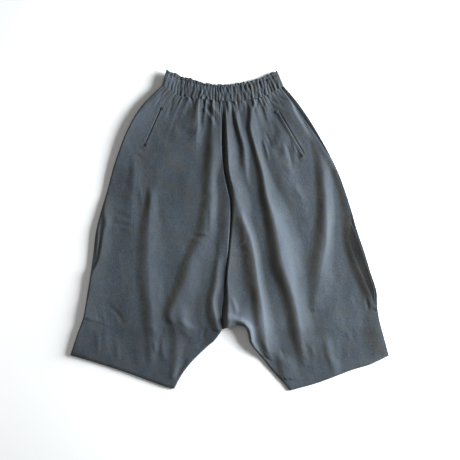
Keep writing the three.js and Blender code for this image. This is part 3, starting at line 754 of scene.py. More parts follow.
def front_point(leg, u, v, scale, detail):
    """Places and heights of a front panel: x, y, underside and top.

    It rests on the back, puffs up inside its rolled edges, and carries the folds, the
    gathers below the band, the short creases and a slow unevenness. Crests lean to the left.
    """
    x, y, to_inner, to_side = panel_place(leg, FRONT_SIDE[leg], u, v)
    length = OUTLINE["centre_seam"][0][1] - OUTLINE["right_hem"][0][1]
    to_top, to_hem = v * length, (1 - v) * length
    low = edge_low(y)
    standing = lift_at(x, y) + inseam_curl(leg, x, y)
    lift = standing + side_lift(leg, to_side, v, SIDE_LIFT_REACH)
    top_lift = standing + side_lift(leg, to_side, v, SIDE_LEVEL_REACH)

    side_rim = 1.0
    if leg == "left":
        side_rim = roll(to_side, mix(SIDE_ROLL_AT_BAND, SIDE_ROLL, ramp(v, 0.06, 0.08)))
    rim = side_rim * roll(to_inner, SEAM_ROLL[leg]) * roll(to_hem, HEM_ROLL)
    names = [name for name in FOLDS if leg == "left" or name not in LEFT_FOLDS]
    heights = {name: fold_height(name, x, y) for name in names}
    folds = sum(heights.values()) * roll(to_hem, FOLD_END_ROLL) * scale
    resting = low + CLOTH + PUFF[leg] * rim
    banded = BAND_END_HEIGHT + BAND_PUFF * roll(to_side, BAND_END_ROLL) - BELOW_BAND

    gathered = mix(1, GATHER_LEFT_OVER, ramp(u, GATHERED_TO, GATHER_FADE))
    gathers = PANEL_GATHER_HEIGHT * gather_wave(u, PANEL_GATHERS)
    gathers = gathers * np.exp(-to_top / PANEL_GATHER_REACH) * gathered
    fine = FINE_GATHER_HEIGHT + FINE_GATHER_CHANGE * soft_noise(x, y, 16, 40, 6)
    fine = sharp_wave(gather_phase(u, FINE_GATHERS)) * fine * np.exp(-to_top / FINE_GATHER_REACH)
    fine = fine * mix(1, 0.5, 1 - gathered)
    uneven = sum(height * soft_noise(x, y, *place) for height, *place in UNEVENNESS)
    small = crease_height(CREASES[leg], x, y) + tack_height(leg, x, y) + slit_height(leg, x, y)
    high = mix(resting + folds, banded, bell(to_top, BAND_BLEND_REACH))
    high = high + (gathers + detail * (fine + uneven + small)) * rim + top_lift

    leaning = sum(LEANS[name] * heights[name] for name in LEANS if name in heights)
    leaning = leaning * (1 - bell(to_top, LEAN_TOP_REACH)) * roll(to_hem, LEAN_END_ROLL)
    return x - leaning, y, low + lift * (1 + LIFT_CLEARANCE), high


def on_front(context, leg, x, y):
    """Height of a front panel's top at given places, with the sidebar's fold and crease heights."""
    own = settings(context)
    u, v = find_uv(leg, FRONT_SIDE[leg], x.ravel(), y.ravel())
    return front_point(leg, u, v, own.fold_scale, own.crease_scale)[3].reshape(x.shape)


def wall_under(x, y, high, floor, thickness):
    """Underside of a wall: its thickness is measured square to the slope, and it stays above
    the floor given."""
    slopes = []
    for axis in (1, 0):
        step = np.hypot(np.gradient(x, axis=axis), np.gradient(y, axis=axis))
        slopes.append(np.gradient(high, axis=axis) / np.maximum(step, 0.05))
    wall = thickness * np.minimum(STEEPEST_WALL, np.hypot(1, np.hypot(*slopes)))
    low = np.maximum(floor, high - wall)
    return low, np.maximum(high, low + thickness * THINNEST_SHARE)


def grain_uv(x, y):
    """UV in metres along the threads: how far across and down the surface each point lies."""
    ways = []
    for axis, first in ((1, np.s_[:, :1]), (0, np.s_[:1])):
        steps = [np.diff(place, axis=axis, prepend=place[first]) for place in (x, y)]
        ways.append(np.cumsum(np.hypot(*steps), axis=axis))
    return np.stack(ways, -1).reshape(-1, 2) * MM


def painted_shade_side(x, high, least):
    """Painted shade mask: where the cloth rises to the right, away from the key light, from zero at the
    least slope to one at a quarter more.
    """
    run = np.gradient(x, axis=1)
    rise = np.gradient(high, axis=1) * np.sign(run) / np.maximum(np.abs(run), 0.4)
    return np.clip((rise - least) * 4, 0, 1)


def side_curl(leg, x, y):
    """The right back's edge turns up beyond the front: a smooth step from the front's edge,
    or the pleat's where that is further out, to near the silhouette."""
    if leg == "left":
        return np.zeros_like(x)
    beside_pleat = (y > PLEAT_SHOWS[0]) & (y < PLEAT_SHOWS[1])
    pleat = np.where(beside_pleat, crossing(OUTLINE["right_pleat"], y), -1e3)
    inner = np.maximum(crossing(OUTLINE["right_front_side"], y), pleat)
    width = np.maximum(crossing(OUTLINE["right_side"], y) - inner, 0.5)
    t = np.clip((x - inner - CURL_START) / (CURL_SPAN * width), 0, 1)
    return np.clip(CURL_SHARE * width - CURL_LESS, 0, CURL_MOST) * smooth(t)


def ring_of(rows, columns):
    """Numbers of a grid's outermost points, once round."""
    across = columns + 1
    first = np.arange(columns)
    right = np.arange(rows) * across + columns
    last = rows * across + columns - np.arange(columns)
    left = (rows - np.arange(rows)) * across
    return np.concatenate([first, right, last, left])


def closed_sheet(name, x, y, low, high, material, painted_light_and_tone=None, uv=None):
    """A closed wall of cloth from a grid of places with an underside and a top.

    The two layers are joined by a rounded rim: one more ring of points, halfway up and
    pushed out by about a third of the wall. The painted highlight and painted shade are laid on
    as named point values, and the grain follows the places, unless its UV is given.
    """
    rows, columns = x.shape[0] - 1, x.shape[1] - 1
    count = x.size
    top = np.stack([x, y, high], -1).reshape(-1, 3)
    under = np.stack([x, y, low], -1).reshape(-1, 3)
    ring = ring_of(rows, columns)
    edge = top[ring]
    after = np.roll(edge, -1, axis=0)
    way = after - np.roll(edge, 1, axis=0)
    area = float(np.sum(edge[:, 0] * after[:, 1] - edge[:, 1] * after[:, 0]))
    outward = np.stack([way[:, 1], -way[:, 0]], -1) * np.sign(area)
    outward = outward / np.maximum(np.linalg.norm(outward, axis=1, keepdims=True), 1e-6)
    middle = (top[ring] + under[ring]) / 2
    bulge = np.minimum(top[ring, 2] - under[ring, 2], WIDEST_RIM)[:, None] * RIM_BULGE
    middle[:, :2] += outward * bulge
    points = np.vstack([top, under, middle]) * MM

    across = columns + 1
    corner = (np.arange(rows)[:, None] * across + np.arange(columns)).ravel()
    upper = np.stack([corner, corner + 1, corner + 1 + across, corner + across], -1)
    lower = upper[:, ::-1] + count
    here = np.arange(len(ring))
    following = (here + 1) % len(ring)
    mid_here, mid_following = 2 * count + here, 2 * count + following
    rim_top = np.stack([ring[following], ring[here], mid_here, mid_following], -1)
    rim_under = np.stack([mid_following, mid_here, ring[here] + count, ring[following] + count], -1)
    faces = np.vstack([upper, lower, rim_top, rim_under])
    if area < 0:
        faces = faces[:, ::-1]
    if uv is None:
        uv = grain_uv(x, y)
    piece = mesh_object(name, points, faces, np.vstack([uv, uv, uv[ring]]), material)
    for label, values in (painted_light_and_tone or {}).items():
        flat = values.ravel()
        layer = piece.data.attributes.new(label, "FLOAT", "POINT")
        layer.data.foreach_set("value", np.concatenate([flat, flat, flat[ring]]).astype(np.float32))
    return piece


def mesh_object(name, points, faces, uv_points, material):
    """A mesh object at the origin from arrays of points in metres, four-sided faces and one
    UV place for each point."""
    mesh = bpy.data.meshes.new(name)
    mesh.vertices.add(len(points))
    mesh.vertices.foreach_set("co", points.astype(np.float32).ravel())
    mesh.loops.add(faces.size)
    mesh.loops.foreach_set("vertex_index", faces.astype(np.int32).ravel())
    mesh.polygons.add(len(faces))
    mesh.polygons.foreach_set("loop_start", np.arange(0, faces.size, 4, dtype=np.int32))
    mesh.update(calc_edges=True)
    mesh.polygons.foreach_set("use_smooth", np.ones(len(faces), bool))
    layer = mesh.uv_layers.new(name="grain")
    layer.data.foreach_set("uv", uv_points[faces.ravel()].astype(np.float32).ravel())
    mesh.validate()
    mesh.materials.append(material)
    thing = bpy.data.objects.new(name, mesh)
    bpy.context.scene.collection.objects.link(thing)
    return thing


def threads(name, starts, ends, radius, material):
    """Stitches, all in one mesh: each is a round thread of six sides from its start to its
    end, drawn in at both ends and arched up in the middle."""
    shares = np.array([0.0, 0.18, 0.5, 0.82, 1.0])
    sizes = np.array([0.25, 0.9, 1.0, 0.9, 0.25])
    arch = np.array([-0.9, 0.1, 0.35, 0.1, -0.9])
    way = ends - starts
    way = way / np.linalg.norm(way, axis=1, keepdims=True)
    beside = np.cross(way, [0.0, 0.0, 1.0])
    beside = beside / np.linalg.norm(beside, axis=1, keepdims=True)
    above = np.cross(beside, way)
    turn = np.linspace(0, 2 * np.pi, 6, endpoint=False)[None, None, :, None]
    centre = mix(starts[:, None], ends[:, None], shares[None, :, None])
    centre = centre + above[:, None] * (radius * arch)[None, :, None]
    circle = np.cos(turn) * beside[:, None, None] + np.sin(turn) * above[:, None, None]
    points = centre[:, :, None] + circle * (radius * sizes)[None, :, None, None]

    count, rings, sides = points.shape[:3]
    first = np.arange(count) * rings * sides
    base = first[:, None, None] + np.arange(rings - 1)[None, :, None] * sides
    here = np.arange(sides)[None, None]
    there = (here + 1) % sides
    walls = np.stack([base + here, base + there, base + there + sides, base + here + sides], -1)
    last = (rings - 1) * sides
    caps = ((0, (3, 2, 1, 0)), (0, (5, 4, 3, 0)), (last, (0, 1, 2, 3)), (last, (0, 3, 4, 5)))
    ends_closed = [np.stack([first + offset + k for k in order], -1) for offset, order in caps]
    faces = np.vstack([walls.reshape(-1, 4), *ends_closed])
    flat = points.reshape(-1, 3)
    return mesh_object(name, flat * MM, faces, flat[:, :2] * MM, material)


def dress(thing, node):
    """The piece stands for its node: it rides with the body, and the node's imported part is hidden."""
    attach(thing, BODY)
    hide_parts(node)


class Nodes:
    """A short way to add and join the nodes of a material."""

    def __init__(self, name):
        self.material = bpy.data.materials.new(name)
        self.material.use_nodes = True
        self.tree = self.material.node_tree
        self.shader = self.tree.nodes["Principled BSDF"]

    def add(self, kind, inputs=None, **options):
        """A node with its options set and its inputs joined or given a value."""
        node = self.tree.nodes.new(kind)
        for key, value in options.items():
            setattr(node, key, value)
        for key, value in (inputs or {}).items():
            if hasattr(value, "is_output"):
                self.tree.links.new(value, node.inputs[key])
            else:
                node.inputs[key].default_value = value
        return node

    def place(self):
        """Places on the object, in metres."""
        return self.add("ShaderNodeTexCoord").outputs["Object"]

    def point_value(self, label):
        """A named value of the mesh's points."""
        return self.add("ShaderNodeAttribute", attribute_name=label).outputs["Fac"]

    def scaled(self, place, scale):
        """Places scaled each way."""
        return self.add("ShaderNodeMapping", {"Vector": place, "Scale": scale}).outputs["Vector"]

    def noise(self, place, scale, detail):
        """A cloudy noise of the given scale."""
        inputs = {"Vector": place, "Scale": scale, "Detail": detail}
        return self.add("ShaderNodeTexNoise", inputs).outputs["Fac"]

    def bands(self, place, direction):
        """Slightly wavy bands across a direction."""
        inputs = {"Vector": place, "Scale": 1.0, "Distortion": 0.3}
        return self.add("ShaderNodeTexWave", inputs, bands_direction=direction).outputs["Fac"]

    def spread(self, value, low, high, to_low=0.0, to_high=1.0):
        """A value's stretch from low to high, moved to another stretch."""
        inputs = {0: value, 1: low, 2: high, 3: to_low, 4: to_high}
        return self.add("ShaderNodeMapRange", inputs).outputs[0]

    def calculate(self, operation, a, b):
        """Two values added, multiplied or the like."""
        return self.add("ShaderNodeMath", {0: a, 1: b}, operation=operation).outputs[0]

    def blend(self, share, a, b, **options):
        """From colour a to colour b."""
        inputs = {0: share, 6: a, 7: b}
        return self.add("ShaderNodeMix", inputs, data_type="RGBA", **options).outputs[2]

    def bump(self, height, strength, distance, **under):
        """A bump of the surface, on top of another if its normal is given."""
        inputs = {"Height": height, "Strength": strength, "Distance": distance, **under}
        return self.add("ShaderNodeBump", inputs).outputs[0]

    def finish(self, joined, fixed):
        """The shader's inputs: some joined to nodes, the others set to a value."""
        for socket, output in joined.items():
            self.tree.links.new(output, self.shader.inputs[socket])
        for socket, value in fixed.items():
            self.shader.inputs[socket].default_value = value
        return self.material


def dyed(colour, factors):
    """A colour with each channel multiplied, as a colour socket takes it."""
    return (*[channel * factor for channel, factor in zip(colour, factors)], 1)


def cloth_material(context):
    """Plain-woven cotton: slubs along both threads, a fine weave and a soft cloudiness in
    its colour, with a low matt sheen. High crests carry a painted highlight and the fronts are
    lightened more towards the hem; slopes that face away from the key light carry a painted
    brown shade."""
    name = "greyed_navy_cotton"
    existing = bpy.data.materials.get(name)
    if existing:
        return existing
    own = settings(context)
    colour = own.cloth_colour
    m = Nodes(name)
    grain = m.add("ShaderNodeUVMap", uv_map="grain").outputs["UV"]
    place = m.place()

    weft_slub = m.noise(m.scaled(grain, (90, 620, 1)), 1.0, 2.0)
    warp_slub = m.noise(m.scaled(grain, (620, 90, 1)), 1.0, 2.0)
    slub = m.calculate("ADD", weft_slub, warp_slub)
    woven = m.blend(m.spread(slub, 0.75, 1.25), dyed(colour, DARK_YARN), dyed(colour, LIGHT_YARN))
    patches = m.spread(m.noise(place, 38.0, 3.0), 0.42, 0.62, 0.0, 0.7)
    patched = m.blend(patches, woven, dyed(colour, GREYED))

    drawn_out = m.scaled(place, (1.0, 0.42, 1.0))
    clouds = m.spread(m.noise(drawn_out, 19.0, 5.0), 0.34, 0.66, 0.78, 1.24)
    mottle = m.noise(place, 260.0, 3.0)
    both = m.calculate("MULTIPLY", clouds, m.spread(mottle, 0.3, 0.7, 0.84, 1.16))
    shaded = m.add("ShaderNodeVectorMath", {0: patched, 3: both}, operation="SCALE").outputs[0]

    # Painted highlight: high crests are lightened, and the fronts more towards the hem
    lightening_share = m.calculate("MULTIPLY", m.point_value("painted_light_and_tone"), MOST_PAINTED_LIGHT)
    painted_lightening = m.blend(lightening_share, shaded, dyed(colour, PAINTED_LIGHT_TONE))
    # Painted shade: slopes that rise to the right, away from the key light, are browned
    shade_tinted = m.blend(1.0, painted_lightening, PAINTED_SHADE_TINT, blend_type="MULTIPLY")
    tinted = m.blend(m.point_value("painted_shade_side"), painted_lightening, shade_tinted)

    threads_a_metre = 1.0 / (own.thread_pitch * 2)
    fine = m.scaled(grain, (threads_a_metre,) * 3)
    weave = m.calculate("MULTIPLY", m.bands(fine, "X"), m.bands(fine, "Y"))
    woven_bump = m.bump(weave, 0.25, 0.0003)
    slub_bump = m.bump(slub, 0.5, 0.0006, Normal=woven_bump)
    nap_bump = m.bump(mottle, 0.45, 0.0011, Normal=slub_bump)
    fixed = {
        "Roughness": own.cloth_roughness,
        "Specular IOR Level": 0.25,
        "Sheen Weight": own.sheen,
        "Sheen Roughness": 0.45,
        "Sheen Tint": SHEEN_TINT,
    }
    return m.finish({"Base Color": tinted, "Normal": nap_bump}, fixed)


def thread_material(context):
    """Sewing thread: a shade darker than the cloth, with its twist as a fine bump."""
    colour = settings(context).cloth_colour
    m = Nodes("matching_thread")
    twist = m.noise(m.place(), 1800.0, 1.0)
    tone = m.blend(twist, dyed(colour, DARK_THREAD), dyed(colour, LIGHT_THREAD))
    return m.finish({"Base Color": tone, "Normal": m.bump(twist, 0.4, 0.0002)}, {"Roughness": 0.7})


def floor_material():
    """A pale studio floor: matt white with a very faint unevenness."""
    m = Nodes("pale_floor")
    tone = m.blend(m.noise(m.place(), 3.0, 2.0), *FLOOR_COLOURS)
    fixed = {
        "Roughness": 0.95,
        "Specular IOR Level": 0.0,
        "Emission Color": (1, 1, 1, 1),
        "Emission Strength": 0.02,
    }
    return m.finish({"Base Color": tone}, fixed)


def make_front(context, leg):
    """A front panel, from the centre seam and inseam out to its side edge. Its grid is closest
    beside the seam, the side, the pocket slit and the line of stitches above the hem."""
    own = settings(context)
    beside_slit = [(0, 0.05, 2.0), (1, 0.03, 1.5), (SLIT_U, 0.05, 3.0), *EDGE_PEAKS]
    beside_tack = [(0, 0.03, 1.5), (TACK_V[leg], 0.012, 2.0), *EDGE_PEAKS]
    u, v = np.meshgrid(stations(FRONT_COLUMNS, beside_slit), stations(FRONT_ROWS, beside_tack))
    x, y, floor, high = front_point(leg, u, v, own.fold_scale, own.crease_scale)
    inset = (-1 if leg == "left" else 1) * SEAM_GAP / 2
    x = x + inset * (1 - u)
    y = y - np.where(v == 0, SEAM_GAP, 0)
    low, high = wall_under(x, y, high, floor, own.cloth_thickness / MM)
    if leg == "right":
        low[:, -SIDE_TURN_COLUMNS:] = floor[:, -SIDE_TURN_COLUMNS:]
    # Painted highlight: crests that stand high are lightened, and the cloth is lightened evenly, more lower
    # down
    crests = ramp(high - low.min(), HIGHLIGHT_FROM, HIGHLIGHT_OVER) ** 1.2
    lower_down = ramp(v, 0.1, 0.5) if leg == "left" else mix(0.8, 1, v)
    painted_lightening = crests * roll(v, 0.2) * roll(1 - v, 0.1) + EVEN_LIGHTENING * lower_down
    # Painted shade: slopes that rise to the right, away from the key light, get a brown tint
    painted_light_and_tone = {"painted_light_and_tone": painted_lightening, "painted_shade_side": painted_shade_side(x, high, 0.05)}
    piece = closed_sheet(f"front_{leg}_cloth", x, y, low, high, cloth_material(context), painted_light_and_tone)
    dress(piece, f"front_panel_{leg}")


def make_back(context, leg):
    """A back panel. Its underside rests flat, with a few shallow creases drawn up into it, and
    its side curls up a little where the pleat opens."""
    u, v = np.meshgrid(
        stations(BACK_COLUMNS, [(1, 0.03, 5.0), *EDGE_PEAKS]),
        stations(BACK_ROWS, [(0, 0.03, 1.0), *EDGE_PEAKS]),
    )
    x, y, to_inner, to_side = panel_place(leg, f"{leg}_side", u, v)
    lift = lift_at(x, y) if leg == "right" else np.zeros_like(x)
    lift = np.where(lift < LEAST_LIFT, 0, lift) + side_lift(leg, to_side, v, SIDE_LIFT_REACH)
    outward = -1 if leg == "left" else 1
    x = x + outward * (SEAM_GAP / 2) * (1 - u) - outward * BACK_SIDE_INSET[leg] * u
    y = y + np.where(v == 0, BACK_SEAM_RISE, 0)
    crease = BACK_CREASE * np.maximum(soft_noise(x, y, 20, 120, 11) - 0.2, 0)
    crease = crease * roll(to_side, 30) * roll(to_inner, 30)
    crease = crease * np.clip((1 - v) * 12, 0, 1) * np.clip(v * 12, 0, 1)
    curl = side_curl(leg, x, y)
    low = lift + crease + curl * 0.8
    high = np.maximum(low + CLOTH - crease + curl * 0.2, low + BACK_THINNEST)
    piece = closed_sheet(f"back_{leg}_cloth", x, y, low, high, cloth_material(context))
    dress(piece, f"back_panel_{leg}")


def make_pleat(context, leg):
    """The layer folded under beside a side seam: low under the front's edge, rising to a soft
    ridge and rolled down at its own fold."""
    s, t = np.meshgrid(stations(PLEAT_COLUMNS, [(0, 0.01, 9.0)]), np.linspace(0, 1, PLEAT_ROWS + 1))
    edge_x, edge_y = path_at(OUTLINE[f"{leg}_pleat"], t)
    inward = 1 if leg == "left" else -1
    from_edge = PLEAT_DEPTH * np.minimum(1, 0.35 + t) * s
    x, y = edge_x + inward * from_edge, edge_y
    if leg == "right":
        shown = np.maximum(edge_x - crossing(OUTLINE["right_front_side"], edge_y), 0.5)
        ridge = RIGHT_RIDGE_SHARE * shown * np.clip(1 - from_edge / shown, 0, 1) ** 1.1
        lift = np.zeros_like(x)
    else:
        ridge = LEFT_RIDGE * np.sin(np.pi * t) ** 0.6 * bell(from_edge - LEFT_RIDGE_PLACE, LEFT_RIDGE_WIDTH)
        side = OUTLINE["left_side"]
        down = (side[0][1] - y) / (side[0][1] - side[-1][1])
        lift = side_lift(leg, x - crossing(side, y), down, SIDE_LIFT_REACH) * (1 + LIFT_CLEARANCE / 2)
    low = FRONT_EDGE_LOW + ridge * RIDGE_UNDERSIDE + lift
    high = np.maximum(FRONT_EDGE_LOW + PLEAT + ridge + lift, low + 0.9)
    # Painted shade on slopes that rise to the right, away from the key light; no painted highlight
    painted_light_and_tone = {"painted_light_and_tone": np.zeros_like(x), "painted_shade_side": painted_shade_side(x, high, 0.0)}
    piece = closed_sheet(f"pleat_{leg}_cloth", x, y, low, high, cloth_material(context), painted_light_and_tone)
    dress(piece, f"side_pleat_{leg}")
    flat = (PLEAT_DEPTH * MM, path_length(OUTLINE[f"{leg}_pleat"]) * MM)


def band_gathers(u, v):
    """Height of the waistband's gathers at u along it and v down from its heading.

    A coarse and a fine wave run across it. Their phase drifts with a slow noise, so that no
    two gathers are alike, and another set of phases takes over below the middle, which
    makes some of them fork and slant.
    """
    along_band = u * path_length(OUTLINE["waist_top"])
    share = ramp(v, 0.3, 0.4)
    total = np.zeros_like(u)
    for part, (seed, weight) in enumerate(((21, 1 - share), (31, share))):
        drift = 0.5 * soft_noise(along_band, v * 20, 26, 30, seed)
        fine = 2 * np.pi * (GATHERS_AROUND * u + 1.6 * drift + 0.3 * part)
        coarse = 2 * np.pi * (GATHERS_AROUND * COARSE_A_GATHER * u - 1.3 * drift + 0.2)
        strength = 0.7 + 0.6 * soft_noise(along_band, v * 30, 17, 14, seed + 1)
        total += weight * strength * (1.3 * sharp_wave(fine) + 1.1 * np.sin(coarse))
    return total


def band_end_lift(u):
    """The band's left end stands up off the floor as the side below it does."""
    from_left = u * path_length(OUTLINE["waist_top"])
    return SIDE_LIFT * np.clip(1 - from_left / SIDE_LIFT_REACH, 0, 1) ** 2


def band_point(u, v):
    """Places and heights of the front waistband at u along it and v down from its heading.

    The gathers run down it. The casing is drawn in along the stitch line under the heading,
    swells over the elastic, and the heading frills out past its line in uneven steps.
    """
    length = path_length(OUTLINE["waist_top"])
    along_band = u * length
    top_x, top_y = path_at(OUTLINE["waist_top"], u)
    low_x, low_y = path_at(OUTLINE["band_seam"], u)
    x, y = mix(top_x, low_x, v), mix(top_y, low_y, v)
    to_end = np.minimum(u, 1 - u) * length
    end = roll(to_end, BAND_END_ROLL)
    drawn = -BAND_STITCH_DRAW * bell(v - HEADING_SHARE, 0.045)
    swell = BAND_SWELL * np.sin(np.pi * ramp(v, HEADING_SHARE, 1 - HEADING_SHARE))
    ruffle = sum(h * soft_noise(along_band, v * 0, size, 40, seed) for h, size, seed in HEADING_NOISE)
    frill = HEADING_FRILL * (ruffle - 0.5) * roll(to_end, 8) * np.clip(1 - v / 0.16, 0, 1)
    sway = GATHER_SWAY * soft_noise(along_band, v * 30, 13, 9, 43) * end
    ruffles = RUFFLE_HEIGHT * sharp_wave(2 * np.pi * (GATHERS_AROUND * RUFFLES_A_GATHER * u + 0.5 * ruffle))
    gathers = band_gathers(u, v) * mix(1.15, 0.85, np.clip(v / 0.3, 0, 1))
    wave = mix(ruffles, gathers, ramp(v, 0.08, 0.14))
    high = BAND_END_HEIGHT + BAND_PUFF * end + (wave + drawn + swell) * end + band_end_lift(u)
    return x + sway, y + frill, high


def make_band_front(context):
    """The front of the waistband: a gathered casing with its frilled heading."""
    peaks = [(0, 0.01, 8.0), (HEADING_SHARE, 0.05, 2.0), (1, 0.06, 1.0), (1, 0.01, 9.0)]
    columns = GATHERS_AROUND * BAND_COLUMNS_A_GATHER
    u, v = np.meshgrid(np.linspace(0, 1, columns + 1), stations(BAND_ROWS, peaks))
    x, y, high = band_point(u, v)
    low, high = wall_under(x, y, high, BAND_FLOOR + band_end_lift(u), BAND_WALL)
    # Painted shade on slopes that rise to the right, away from the key light; no painted highlight
    painted_light_and_tone = {"painted_light_and_tone": np.zeros_like(x), "painted_shade_side": painted_shade_side(x, high, 0.0)}
    piece = closed_sheet("waistband_front_cloth", x, y, low, high, cloth_material(context), painted_light_and_tone)
    dress(piece, "waistband_front")


def make_band_back(context):
    """The back of the waistband, flat underneath and gathered on top."""
    columns = GATHERS_AROUND * BAND_BACK_COLUMNS_A_GATHER
    u, v = np.meshgrid(np.linspace(0, 1, columns + 1), np.linspace(0, 1, BAND_BACK_ROWS + 1))
    x, y, _ = band_point(u, v)
    length = path_length(OUTLINE["waist_top"])
    wave = BACK_BAND_GATHER * band_gathers(u, v) * roll(np.minimum(u, 1 - u) * length, BAND_END_ROLL)
    low = band_end_lift(u)
    high = np.clip(BACK_BAND_HEIGHT + wave, 1.4, 3.4) + low
    y = y + np.where(v == 1, BACK_SEAM_RISE + SEAM_GAP, 0)
    grain = grain_uv(x, y)
    x, y = x * (1 - 2 * BACK_BAND_INSET / length), y - BACK_BAND_INSET * (1 - v)
    piece = closed_sheet("waistband_back_cloth", x, y, low, high, cloth_material(context), uv=grain)
    dress(piece, "waistband_back")


def slit_frame(leg):
    """A slit's start, its way, the way across it towards the welt, and its length."""
    slit = SLITS[leg]
    start, end = np.array(slit["start"], float), np.array(slit["end"], float)
    length = float(np.linalg.norm(end - start))
    way = (end - start) / length
    across = np.array([-way[1], way[0]])
    if across[0] * slit["inward"] < 0:
        across = -across
    return start, way, across, length


def make_welt(context, leg):
    """A pocket's welt: a narrow folded strip along the slit, rounded across and following the
    panel under it."""
    start, way, across, length = slit_frame(leg)
    ends = [(0, 0.03, 9.0), (1, 0.03, 9.0)]
    t, s = np.meshgrid(stations(WELT_COLUMNS, ends), np.linspace(0, 1, WELT_ROWS + 1))
    bow = WELT_BOW * np.sin(3 * np.pi * s) * np.clip(1 - t, 0, 1)
    x, y = (start[k] + way[k] * length * s + across[k] * (WELT_WIDTH * t + bow) for k in (0, 1))
    middle = (start[k] + way[k] * length * s + across[k] * WELT_WIDTH * 0.6 for k in (0, 1))
    ground = np.maximum(on_front(context, leg, x, y), on_front(context, leg, *middle) - 0.6)
    low = ground + WELT_GAP
    crown = WELT_CROWN * (1 - (2 * t - 1) ** 4)
    stitch = -WELT_STITCH_DRAW * bell(t - WELT_STITCH_PLACE, 0.08)
    high = low + WELT_THICKNESS * mix(1, 0.45, t) + crown + stitch
    piece = closed_sheet(f"pocket_welt_{leg}_cloth", x, y, low, high, cloth_material(context))
    dress(piece, f"pocket_welt_{leg}")


def stitch_line(points_at, length, pitch):
    """Starts and ends of the stitches along a line: one stitch and one gap for each pitch."""
    count = max(2, int(round(length / pitch)))
    k = np.arange(count)
    return points_at(k / count), points_at((k + STITCH_SHARE) / count)


def band_stitches(pitch):
    """The line of stitches under the waistband's heading."""

    def points_at(share):
        x, y, high = band_point(mix(0.012, 0.988, share), np.full_like(share, HEADING_SHARE))
        return np.stack([x, y, high + STITCH_RAISE], -1)

    return stitch_line(points_at, path_length(OUTLINE["waist_top"]), pitch)


def welt_stitches(context, leg, pitch, offset, raised):
    """A line of stitches along a welt, at an offset from its slit and raised off the cloth."""
    start, way, across, length = slit_frame(leg)

    def points_at(share):
        along_slit = way[:, None] * length * mix(0.01, 0.985, share)
        x, y = start[:, None] + along_slit + across[:, None] * offset
        return np.stack([x, y, on_front(context, leg, x, y) + raised], -1)

    return stitch_line(points_at, length, pitch)


def bar_tack(context, leg, end_share):
    """The bar tack across one end of a welt: stitches side by side."""
    start, way, across, length = slit_frame(leg)
    shift = (np.arange(BAR_STITCHES) - BAR_STITCHES / 2) * BAR_PITCH
    centre = start[:, None] + way[:, None] * (length * end_share + shift)
    a = centre - across[:, None] * 1.5
    b = centre + across[:, None] * (WELT_WIDTH + 0.8)
    raised = np.maximum(on_front(context, leg, *a), on_front(context, leg, *b)) + WELT_TOP + 0.5
    return np.stack([*a, raised], -1), np.stack([*b, raised], -1)


def pleat_stitches(context, leg, pitch):
    """The line of stitches that holds a pleat above the hem."""
    (x0, y0), (x1, y1) = TACKS[leg]

    def points_at(share):
        inside = mix(0.03, 1, share)
        x, y = mix(x0, x1, inside), mix(y0, y1, inside)
        return np.stack([x, y, on_front(context, leg, x, y) + STITCH_RAISE], -1)

    return stitch_line(points_at, float(np.hypot(x1 - x0, y1 - y0)), pitch)


def make_stitching(context):
    """All the sewing that shows, in one mesh: the line under the band's heading, the two lines
    and bar tacks of each welt, and the lines that hold the pleats."""
    own = settings(context)
    pitch = own.stitch_length / MM
    rows = [band_stitches(pitch)]
    for leg in LEGS:
        rows.append(welt_stitches(context, leg, pitch, WELT_WIDTH * WELT_STITCH_PLACE, WELT_TOP))
        rows.append(welt_stitches(context, leg, pitch, WELT_WIDTH + BESIDE_WELT, STITCH_RAISE))
        rows += [bar_tack(context, leg, end_share) for end_share in (0.0, 1.0)]
        rows.append(pleat_stitches(context, leg, pitch))
    starts, ends = (np.vstack(points) for points in zip(*rows))
    piece = threads("stitching", starts, ends, own.thread_radius / MM, thread_material(context))
    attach(piece, BODY)


def make_light(context, name, place, size, power, colour):
    """A rectangular light that faces the origin."""
    light = bpy.data.lights.new(name, "AREA")
    light.shape = "RECTANGLE"
    light.size, light.size_y = size
    light.energy = power
    light.color = colour
    thing = bpy.data.objects.new(name, light)
    thing.location = place
    thing.rotation_euler = (-Vector(place)).to_track_quat("-Z", "Y").to_euler()
    context.scene.collection.objects.link(thing)


def make_stage(context):
    """The floor, the lights and the camera straight above."""
    own = settings(context)
    corners = np.array([(-1, -1, 0), (1, -1, 0), (1, 1, 0), (-1, 1, 0)], float) * FLOOR_HALF
    corners[:, 2] = -FLOOR_DROP
    floor = mesh_object("floor", corners, np.array([[0, 1, 2, 3]]), corners[:, :2], floor_material())

    world = bpy.data.worlds.new("studio")
    world.use_nodes = True
    background = world.node_tree.nodes["Background"]
    background.inputs["Color"].default_value = WORLD_COLOUR
    background.inputs["Strength"].default_value = own.fill_strength
    context.scene.world = world

    key_size = (own.key_size, KEY_HEIGHT)
    make_light(context, "key_light", KEY_PLACE, key_size, own.key_power, KEY_COLOUR)
    make_light(context, "left_fill", FILL_PLACE, FILL_SIZE, own.left_power, FILL_COLOUR)
    make_light(context, "top_light", TOP_PLACE, TOP_SIZE, own.top_power, TOP_COLOUR)

    camera_data = bpy.data.cameras.new("camera")
    camera_data.sensor_width = SENSOR_WIDTH
    camera_data.lens = SENSOR_WIDTH * CAMERA_HEIGHT / (PHOTO_WIDTH_MM * MM)
    camera_data.clip_end = 60
    camera = bpy.data.objects.new("camera", camera_data)
    camera.location = (*CAMERA_OFFSET, CAMERA_HEIGHT)
    context.scene.collection.objects.link(camera)
    context.scene.camera = camera
    context.scene.view_settings.view_transform = "Standard"


